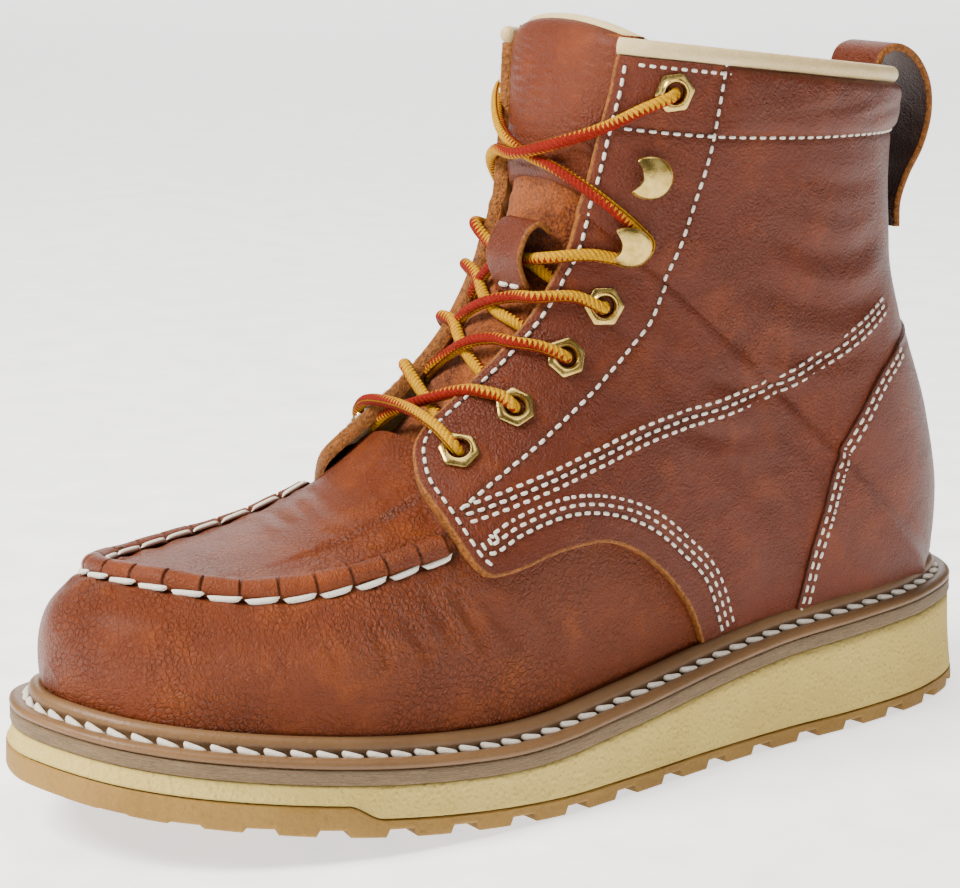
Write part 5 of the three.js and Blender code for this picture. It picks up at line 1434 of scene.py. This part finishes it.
makePiece("tongue_suede", tongueSkins(), looks["tongueSuede"], ["tongue"],
          secondMaterial=looks["lining"])
padShells, padRing = padSkins()
padPiece = makePiece("tongue_pad", padShells, looks["pad"], secondMaterial=looks["lining"])
rollPath = tongueAt(padRing[:, 0], padRing[:, 1], tongueLift - 3.4)
rollPath = rollPath[rollPath[:, 2] > 178]
makePiece("tongue_roll", [tube(evenly(rollPath, 240), 1.7, 12)], looks["piping"])
print("tongue made")


# A leather strap carried along its middle line: flat with rounded edges, its width along X
def strapSkin(line, breadth, thickness, count=160, inner=0.9):
    path = evenly(throughPoints(line, 40 * len(line)), count)
    side = np.broadcast_to(np.array([1.0, 0, 0]), path.shape)
    along = np.gradient(path, axis=0)
    normal = np.cross(side, along)
    half, t = breadth / 2, thickness / 2
    angle = np.linspace(-np.pi / 2, np.pi / 2, 7)
    right = np.stack([half - t + t * np.cos(angle), t * np.sin(angle)], 1)
    flat = np.linspace(half - t, -half + t, 9)[1:-1]
    profile = np.vstack([right, np.stack([flat, np.full(7, t)], 1), -right,
                         np.stack([-flat, np.full(7, -t)], 1)])
    points, _ = carried(path, normal, profile)
    points = capped(points)
    outer = np.broadcast_to(np.abs(profile[:, 0]) > half - t * 0.55, points.shape[:2])
    faces = turned(points.reshape(-1, 3), gridFaces(len(points), len(profile), closeCols=True))
    # painted shade on the strap's inner face
    shade = np.broadcast_to(np.where(profile[:, 1] < -t * 0.5, inner, 0.0), points.shape[:2])
    return {"points": points, "faces": faces, "values": {"edge": outer * 0.8, "shade": shade,
            "worn": 0.0}}, path, normal


topZ, innerY, outerY = 184.5, 115.27, 123.67
loopLine = [[0, innerY - 0.9, topZ - 24], [0, innerY - 0.6, topZ - 12], [0, innerY - 0.2, topZ - 2],
            [0, innerY + 2.2, topZ + 5.5],
            [0, innerY + 8, topZ + 7.3], [0, innerY + 14.5, topZ + 4.4], [0, innerY + 19.8, topZ - 3],
            [0, innerY + 21, topZ - 11.5],
            [0, innerY + 18.4, topZ - 21], [0, outerY + 4.4, topZ - 30], [0, outerY + 1.4, topZ - 37.5],
            [0, outerY + 1.2, topZ - 45]]
loopSkin = strapSkin(loopLine, 21, 2.4)[0]
makePiece("pull_strap", [loopSkin], looks["strap"], ["pull_loop"])

# The keeper stands off the tongue, so that both strands of the crossing below the hooks pass behind it
keeperLook = {"low": 0.514, "high": 0.572, "breadth": 15.5, "aside": 5.2}
low, high = tongueAt(np.array([keeperLook["low"], keeperLook["high"]]), np.array([0.0, 0.0]), tongueLift)
out = normalAt(np.array([0.54]), np.array([0.0]))[0]
rise = high - low
low = low + [keeperLook["aside"] - low[0], 0, 0]
rise = rise * [0, 1, 1]
keeperLine = [low + out * 1.0 - rise * 0.16, low + out * 1.5 - rise * 0.06, low + out * 4.4 + rise * 0.1,
              low + out * 7.6 + rise * 0.35,
              low + out * 8.3 + rise * 0.65, low + out * 7.6 + rise * 0.9, low + out * 5.0 + rise * 1.06,
              low + out * 1.0 + rise * 1.0]
keeperSkin, keeperPath, keeperUp = strapSkin(keeperLine, keeperLook["breadth"], 1.8, 90)
makePiece("keeper_strap", [keeperSkin], looks["quarter"], ["lace_keeper"])


# The backstay: a strip up the middle of the heel, on the last's own back
def backstaySkin():
    half = lastGrid["half"]
    rows = slice(352, 520)
    xs = np.linspace(-7.4, 7.4, 31)
    zs = np.linspace(30, 0.847 * collar - 1, 140)
    ys = np.empty((len(zs), len(xs)))
    for k, x in enumerate(xs):
        block = lastPoints[rows, half:] if x >= 0 else lastPoints[rows, :half + 1][:, ::-1]
        tail = block[:, -40:]
        line = np.array([[np.interp(-abs(x), -np.abs(r[:, 0]), r[:, 1]), np.interp(-abs(x),
                -np.abs(r[:, 0]), r[:, 2])] for r in tail])
        order = np.argsort(line[:, 1])
        ys[:, k] = np.interp(zs, line[order, 1], line[order, 0])
    points = np.stack([np.broadcast_to(xs, ys.shape), ys, np.broadcast_to(zs[:, None], ys.shape)], -1)
    normals = np.cross(np.gradient(points, axis=0), np.gradient(points, axis=1))
    normals /= np.linalg.norm(normals, axis=2)[..., None]
    if normals[..., 1].mean() < 0:
        normals = -normals
    near = 7.4 - np.abs(xs)
    lift = 1.0 + 2.3 * np.sqrt(np.clip(1 - (1 - np.minimum(near / 1.6, 1)) ** 2, 0, 1))
    points = points + normals * np.broadcast_to(lift, ys.shape)[..., None]
    faces = turned(points.reshape(-1, 3), gridFaces(*ys.shape), normals.reshape(-1, 3))
    edge = np.broadcast_to(np.exp(-(near / 0.7) ** 2), ys.shape)
    return {"points": points, "faces": faces, "values": {"edge": edge * 0.7, "shade": 0.0, "worn": 0.05}}


makePiece("heel_strip", [backstaySkin()], looks["quarter"], ["backstay"])
print("straps made")


# Eyelets and hooks sit on the stay's face: the place and its three directions
def seats(side):
    found = []
    for kind, at, high in lacing:
        spot = seek([[at * length, high * collar]], side)
        place = onLast(spot[:, 0], spot[:, 1], panelLift)[0]
        z = normalAt(spot[:, 0], spot[:, 1])[0]
        y = np.array([0, 0.16 if kind == "hook" else 0.45, 1.0])
        y = y - z * np.dot(y, z)
        y /= np.linalg.norm(y)
        found.append((kind, place, np.cross(y, z), y, z))
    return found


seatsBySide = {name: seats(sign) for name, sign in sides.items()}


# Hexagonal washer with a raised round rim and a short tube: a profile of radius and height turned
# round, whose outer rows follow the hexagon r / cos of the angle to the nearest flat
def eyeletSkin(place, x, y, z, turn):
    profile = [(4.95, 0.05, 1), (5.2, 0.35, 1), (5.15, 0.75, 1), (4.85, 1.0, 1), (4.2, 1.1, 0.75),
               (3.95, 1.12, 0.3), (3.8, 1.45, 0),
               (3.5, 1.72, 0), (3.15, 1.68, 0), (2.85, 1.35, 0), (2.6, 0.7, 0), (2.5, -0.4, 0),
               (2.5, -3.6, 0), (2.7, -3.7, 0), (2.75, -0.5, 0)]
    angle = np.arange(60) / 60 * 2 * np.pi
    flat = np.abs((angle + turn) % (np.pi / 3) - np.pi / 6)
    hexagon = np.minimum(1.09 / np.cos(np.pi / 6 - flat) * np.cos(np.pi / 6), 1.06)
    rows = []
    for radius, high, six in profile:
        r = radius * (1 + (hexagon - 1) * six)
        rows.append(place + r[:, None] * (np.cos(angle)[:, None] * x + np.sin(angle)[:,
                None] * y) + high * z)
    points = np.stack(rows, 0)
    faces = gridFaces(len(rows), 60, True, True)
    # painted shade: dark inside the tube
    shade = np.broadcast_to(np.array([0, 0, 0, 0, 0, 0, 0, 0, 0, 0.1, 0.5, 0.9, 1, 1, 1])[:, None],
                            points.shape[:2])
    return {"points": points, "faces": turned(points.reshape(-1, 3), faces), "values": {"shade": shade}}


# Speed hook: a domed D plate whose front edge is hollow, on a short neck and a round foot
def hookSkin(place, x, y, z, side):
    n, m = 120, 12
    t = np.linspace(0, 2 * np.pi, n, endpoint=False)
    back = -side
    full = 1 / (np.abs(np.cos(t)) ** 2.6 + np.abs(np.sin(t)) ** 2.6) ** (1 / 2.6)
    reach = np.where(np.cos(t) * back > 0, full, 1.0)
    lx, ly = np.cos(t) * 5.9 * reach, np.sin(t) * 5.7 * reach
    hollow = 2.3 + 0.125 * ly ** 2
    lx = np.where(lx * back > hollow, back * hollow, lx)
    outline = np.stack([lx, ly], 1)
    q = np.append(np.sqrt(np.linspace(0, 0.9, m)), 1.0)
    rows = []
    for r in q:
        flat = outline * r
        high = 4.25 + 1.3 * (1 - (flat ** 2).sum(1) / 34) - 0.3 * max(r - 0.9, 0) * 10
        rows.append(place + flat[:, :1] * x + flat[:, 1:] * y + high[:, None] * z)
    under = [place + outline[:, :1] * 1.01 * x + outline[:, 1:] * 1.01 * y + 4.05 * z,
             place + outline[:, :1] * 0.98 * x + outline[:, 1:] * 0.98 * y + 3.75 * z]
    for r in (0.8, 0.5, 0.0):
        flat = outline * r
        under.append(place + flat[:, :1] * x + flat[:, 1:] * y + (3.8 + 0.5 * (1 - r)) * z)
    points = np.stack(rows + under, 0)
    faces = turned(points.reshape(-1, 3), gridFaces(len(points), n, False, True))
    plate = {"points": points, "faces": faces, "values": {"shade": 0.0}}
    angle = np.arange(24) / 24 * 2 * np.pi
    stem = [(0, 0.02), (3.7, 0.05), (3.8, 0.45), (3.4, 0.75), (1.8, 0.85), (1.5, 1.4), (1.5, 4.1), (0, 4.2)]
    middle = place - x * back * 2.4
    points = np.stack([middle + r * (np.cos(angle)[:, None] * x + np.sin(angle)[:, None] * y) + h * z for r,
                       h in stem])
    # painted shade: the neck under the plate is darkened
    foot = {"points": points, "faces": turned(points.reshape(-1, 3), gridFaces(len(points), 24, False,
            True)), "values": {"shade": 0.2}}
    return [plate, foot]


eyelets, hooks, eyeletNames, hookNames = [], [], [], []
for sideName, sign in sides.items():
    for number, (kind, place, x, y, z) in enumerate(seatsBySide[sideName], 1):
        if kind == "eyelet":
            eyelets.append(eyeletSkin(place, x, y, z, 0.3 * number))
            eyeletNames.append(f"eyelet_{sideName}_{number}")
        else:
            hooks += hookSkin(place, x, y, z, 1 if x[1] > 0 else -1)
            hookNames.append(f"hook_{sideName}_{number}")
makePiece("brass_eyelets", eyelets, looks["brass"], eyeletNames, sharpAngle=40)
makePiece("brass_hooks", hooks, looks["brass"], hookNames, sharpAngle=40)
print("eyelets and hooks made")

# The lace: one bar at the foot, then each side dives through its eyelet, comes out under the stay's
# edge and crosses to the next eyelet on the other side
laceLook = {"radius": 1.65, "samples": 2.6}
centre = {name: [np.array(seat[1]) for seat in rows] for name, rows in seatsBySide.items()}
normalOf = {name: [np.array(seat[4]) for seat in rows] for name, rows in seatsBySide.items()}


def lacePiece(name, points, replaces):
    path = evenly(throughPoints(np.array(points), 60 * len(points)), int(60 * len(points)))
    run = np.linalg.norm(np.diff(path, axis=0), axis=1).sum()
    path = evenly(path, max(int(run * laceLook["samples"]), 20))
    return makePiece(name, [tube(path, laceLook["radius"], 16)], looks["lace"], replaces)


def over(name, k, lift, shift=0.0):
    return centre[name][k] + normalOf[name][k] * lift + np.array([0, shift * 0.6, shift])


# The seats in the last's coordinates, and a point over the skin part of the way between two of them
spotOf = {name: [seek([[at * length, high * collar]], sign)[0] for kind, at, high in lacing] for name,
          sign in sides.items()}


# A point at a lift over the stay, or over the tongue when onTongue is set; sag moves it towards the toe
def between(one, i, other, j, share, lift, sag=0.0, onTongue=False):
    spot = spotOf[one][i] * (1 - share) + spotOf[other][j] * share
    at = np.array([spot[0] - sag]), np.array([spot[1]])
    return tongueAt(*at, tongueLift + lift)[0] if onTongue else onLast(*at, lift)[0]


lacePiece("lace_bar", [
    over("lateral", 0, -5), over("lateral", 0, -0.5), over("lateral", 0, 2.6) + [-1.4, -0.8, 0.2],
    between("lateral", 0, "medial", 0, 0.17, 3.9, 0.002), between("lateral", 0, "medial", 0, 0.5, 1.4,
            0.002),
    between("lateral", 0, "medial", 0, 0.82, 3.9, 0.002), over("medial", 0, 2.6) + [1.4, -0.8, 0.3],
                       over("medial", 0, -0.5),
    over("medial", 0, -5)], ["lace_1"])

# The crossings: share of the way, lift, whether it is over the tongue, share of the sag. The under
# strand starts at a lateral seat and ends over the far stay, the over strand the other way round.
underSteps = [(0.14, 1.4, True, 0.3), (0.27, 1.6, True, 0.6), (0.42, 1.7, True, 0.85), (0.57, 1.8, True,
        0.85),
              (0.7, 3.4, True, 0.5), (0.82, 3.7, False, 0.15)]
overSteps = [(0.12, 1.4, True, 0.3), (0.26, 1.9, True, 0.85), (0.42, 3.0, True, 1.05), (0.57, 4.9, True,
        1.0),
             (0.7, 4.8, True, 0.8), (0.8, 3.0, False, 0.6), (0.91, 3.4, False, 0.2)]
crossings = {1: 0.021, 2: 0.046, 3: 0.094}
hookSag = {"lateral": [0.3, 0.55, 0.75, 0.9, 0.95, 0.7], "medial": [0.3, 0.85, 1.0, 1.0, 1.07, 0.97, 0.75]}


lowSteps = {"lateral": [(0.14, -3.2, 0.003), (0.29, -3.2, 0.0054), (0.4, -3.3, 0.0075), (0.53, -2.9, 0.009),
                        (0.66, -0.8, 0.008),
                        (0.78, 3.2, 0.003), (0.88, 3.7, 0.0)],
            "medial": [(0.15, -3.0, 0.01), (0.34, -2.6, 0.018), (0.5, -1.2, 0.021), (0.63, 0.2, 0.017),
                       (0.73, 1.4, 0.01),
                       (0.8, 2.6, 0.0054), (0.865, 3.4, 0.003), (0.93, 3.5, 0.0)]}


def crossing(one, k):
    other = "medial" if one == "lateral" else "lateral"
    if k == 0:
        return [between(one, 0, other, 1, share, lift, sag) for share, lift, sag in lowSteps[one]]
    steps = underSteps if one == "lateral" else overSteps
    sags = hookSag[one] if k == 3 else [step[3] for step in steps]
    return [between(one, k, other, k + 1, step[0], step[1], crossings[k] * sag, step[2]) for step,
            sag in zip(steps, sags)]


for k in range(3):
    for one, other in (("lateral", "medial"), ("medial", "lateral")):
        way = 1 if one == "medial" else -1
        points = [over(one, k, -4.6), *crossing(one, k), over(other, k + 1, 2.6) + [-way * 1.0, -0.4, -0.4],
                  over(other, k + 1, -0.4), over(other, k + 1, -4.6)]
        lacePiece(f"lace_cross_{k + 1}_{one}", points, [f"lace_{k + 2}"] if one == "lateral" else [])
# The last crossing runs behind the keeper to the lower hook, round its neck and up to the top eyelet
risingSteps = {"lateral": [(0.1, 3.6, False, -0.01), (0.28, 3.6, True, 0.031), (0.4, 3.6, True, 0.047),
                           (0.53, 4.0, True, 0.043),
                           (0.68, 5.0, True, 0.02), (0.86, 3.8, False, 0.0)],
               "medial": [(0.12, 3.8, False, -0.03), (0.24, 5.0, True, 0.0), (0.4, 6.6, True, 0.05),
                          (0.54, 5.2, True, 0.046),
                          (0.71, 4.2, True, 0.026), (0.87, 3.6, False, 0.009)]}
for one, other in (("lateral", "medial"), ("medial", "lateral")):
    way = 1 if one == "medial" else -1
    neck = over(other, 4, 2.0)
    # the strand that rises from the lateral hook ends at the medial eyelet and lies under the other
    rising = [between(other, 4, one, 6, share, lift, sag, tongue) for share, lift, tongue,
              sag in risingSteps[other]]
    points = [
        over(one, 3, -4.6), *crossing(one, 3), neck + np.array([way * -0.9, 0.4, -4.1]),
        neck + np.array([way * 2.0, 3.4, -2.6]), neck + np.array([way * 2.8, 4.4, 0.2]),
              neck + np.array([way * 1.3, 2.4, 3.3]),
        *rising, over(one, 6, 2.6) + [way * 1.2, -0.4, -0.6], over(one, 6, -0.4), over(one, 6, -4.6)]
    lacePiece(f"lace_top_{one}", points, ["lace_5"] if one == "lateral" else ["lace_6"])
print("laces made")

# White thread rows over the quarters: names of lines, how far to each side, pitch in mm
threadLook = {"pitch": 3.35, "share": 0.8, "girth": 0.5, "rise": 0.24}


def aside(line, up, distance):
    along = np.gradient(line, axis=0)
    side = np.cross(along, up)
    side /= np.maximum(np.linalg.norm(side, axis=1), 1e-9)[:, None]
    return line + side * distance


rowsOfThread, rowsOfHoleShade = [], []


def sew(line, up, pitch=None, girth=None):
    pitch = pitch or threadLook["pitch"]
    rowsOfThread.append(stitches(line, up, pitch, threadLook["share"], girth or threadLook["girth"],
                                 threadLook["rise"]))
    # dark marks under each row, for the needle holes and the groove: painted shade
    rowsOfHoleShade.append(stitches(aside(line, up, 0.0) + up * 0.02, up, pitch, 1.0, 0.34, 0.02))


for sign in sides.values():
    lift = panelLift - 0.3
    for key, steps in (("archInner", (0, 2.3, 4.6)), ("triple", (-2.3, 0, 2.3)), ("stayBack", (0,)),
                       ("cuff", (0,))):
        for step in steps:
            line, up = lineOn(quarterRows[key], sign, lift, 260, shares=False)
            line = line + up * quarterRelief(line - up * lift, sign)[:, None]
            sew(aside(line, up, -step * sign), up)
    edge = seek(sideView(np.vstack([stayFoot[::-1], stayFront]), 300), sign)
    line, up = onLast(edge[:, 0], edge[:, 1], lift + 0.2), normalAt(edge[:, 0], edge[:, 1])
    line = aside(line, up, 3.1 * sign)
    keep = line[:, 2] < collarZ(line[:, 1], -4.5)
    sew(line[keep], up[keep])
    edge = collarCurve(sign, 300, -4.6, 0.045)
    line, up = onLast(edge[:, 0], edge[:, 1], lift + 0.1), normalAt(edge[:, 0], edge[:, 1])
    keep = line[:, 1] < 0.13 * length
    sew(line[keep], up[keep], 2.9)
    edge = seek(sideView(counterLine, 300), sign)
    for step in (1.7, 4.1):
        line, up = onLast(edge[:, 0], edge[:, 1], counterLift + 0.12), normalAt(edge[:, 0], edge[:, 1])
        line = line + up * 0.6 * quarterRelief(line - up * counterLift, sign)[:, None]
        sew(aside(line, up, -step * sign), up)
# The keeper's foot is sewn down with two thick stitches across it
foot = keeperPath[9] + keeperUp[9] / np.linalg.norm(keeperUp[9]) * 0.9
across = np.linspace(-5.2, 5.2, 12)[:, None] * [1.0, 0, 0]
rowsOfThread.append(stitches(foot + across, np.broadcast_to(keeperUp[9], (12, 3)), 5.0, 0.92, 0.8, 0.2))
makePiece("white_seams", rowsOfThread, looks["white"])
makePiece("needle_hole_shade", rowsOfHoleShade, looks["dark"])
print("seams sewn")

# The insole keeps its solid and gets its leather
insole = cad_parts["insole"]
insole.data.materials.clear()
insole.data.materials.append(looks["insole"])


# Studio: a pale floor, soft lights and a bright surround
def studio():
    n, m = 40, 3
    t = np.linspace(0, 1, n)
    flat = np.stack([np.linspace(-20000, 20000, m)[None] * np.ones((n, 1)), (t * 40000 - 20000)[:,
            None] * np.ones((1, m)), np.zeros((n, m))], -1)
    points = flat.reshape(-1, 3) * mm
    faces = gridFaces(n, m)
    mesh = bpy.data.meshes.new("floor")
    mesh.from_pydata(points.tolist(), [], faces.tolist())
    floor = bpy.data.objects.new("floor", mesh)
    bpy.context.scene.collection.objects.link(floor)
    paper = plain("floor", (252, 252, 252), 0.7)
    skin = [node for node in paper.node_tree.nodes if node.type == "BSDF_PRINCIPLED"][0]
    skin.inputs["Emission Color"].default_value = (1, 1, 1, 1)
    skin.inputs["Emission Strength"].default_value = 1.35
    mesh.materials.append(paper)
    for name, place, size, power, colour in (
            ("key", (-0.25, -1.2, 1.4), 0.7, 76, (1, 0.95, 0.87)), ("fill", (1.7, 0.5, 0.7), 1.4, 3,
                    (1, 0.97, 0.93)),
            ("back", (-3.6, 2.5, 1.7), 3.0, 90, (1, 0.97, 0.93)), ("top", (0.1, 0.1, 1.9), 1.2, 22,
                    (1, 0.96, 0.9))):
        data = bpy.data.lights.new(name, "AREA")
        data.size, data.energy, data.color = size, power, colour
        item = bpy.data.objects.new(name, data)
        item.matrix_world = Matrix.Translation(place) @ (Vector((0, 0,
                0.08)) - Vector(place)).to_track_quat("-Z", "Y").to_matrix().to_4x4()
        bpy.context.scene.collection.objects.link(item)
    world = bpy.data.worlds.new("surround")
    world.use_nodes = True
    world.node_tree.nodes["Background"].inputs[0].default_value = (1, 1, 1, 1)
    world.node_tree.nodes["Background"].inputs[1].default_value = 0.22
    bpy.context.scene.world = world


studio()
print("done")
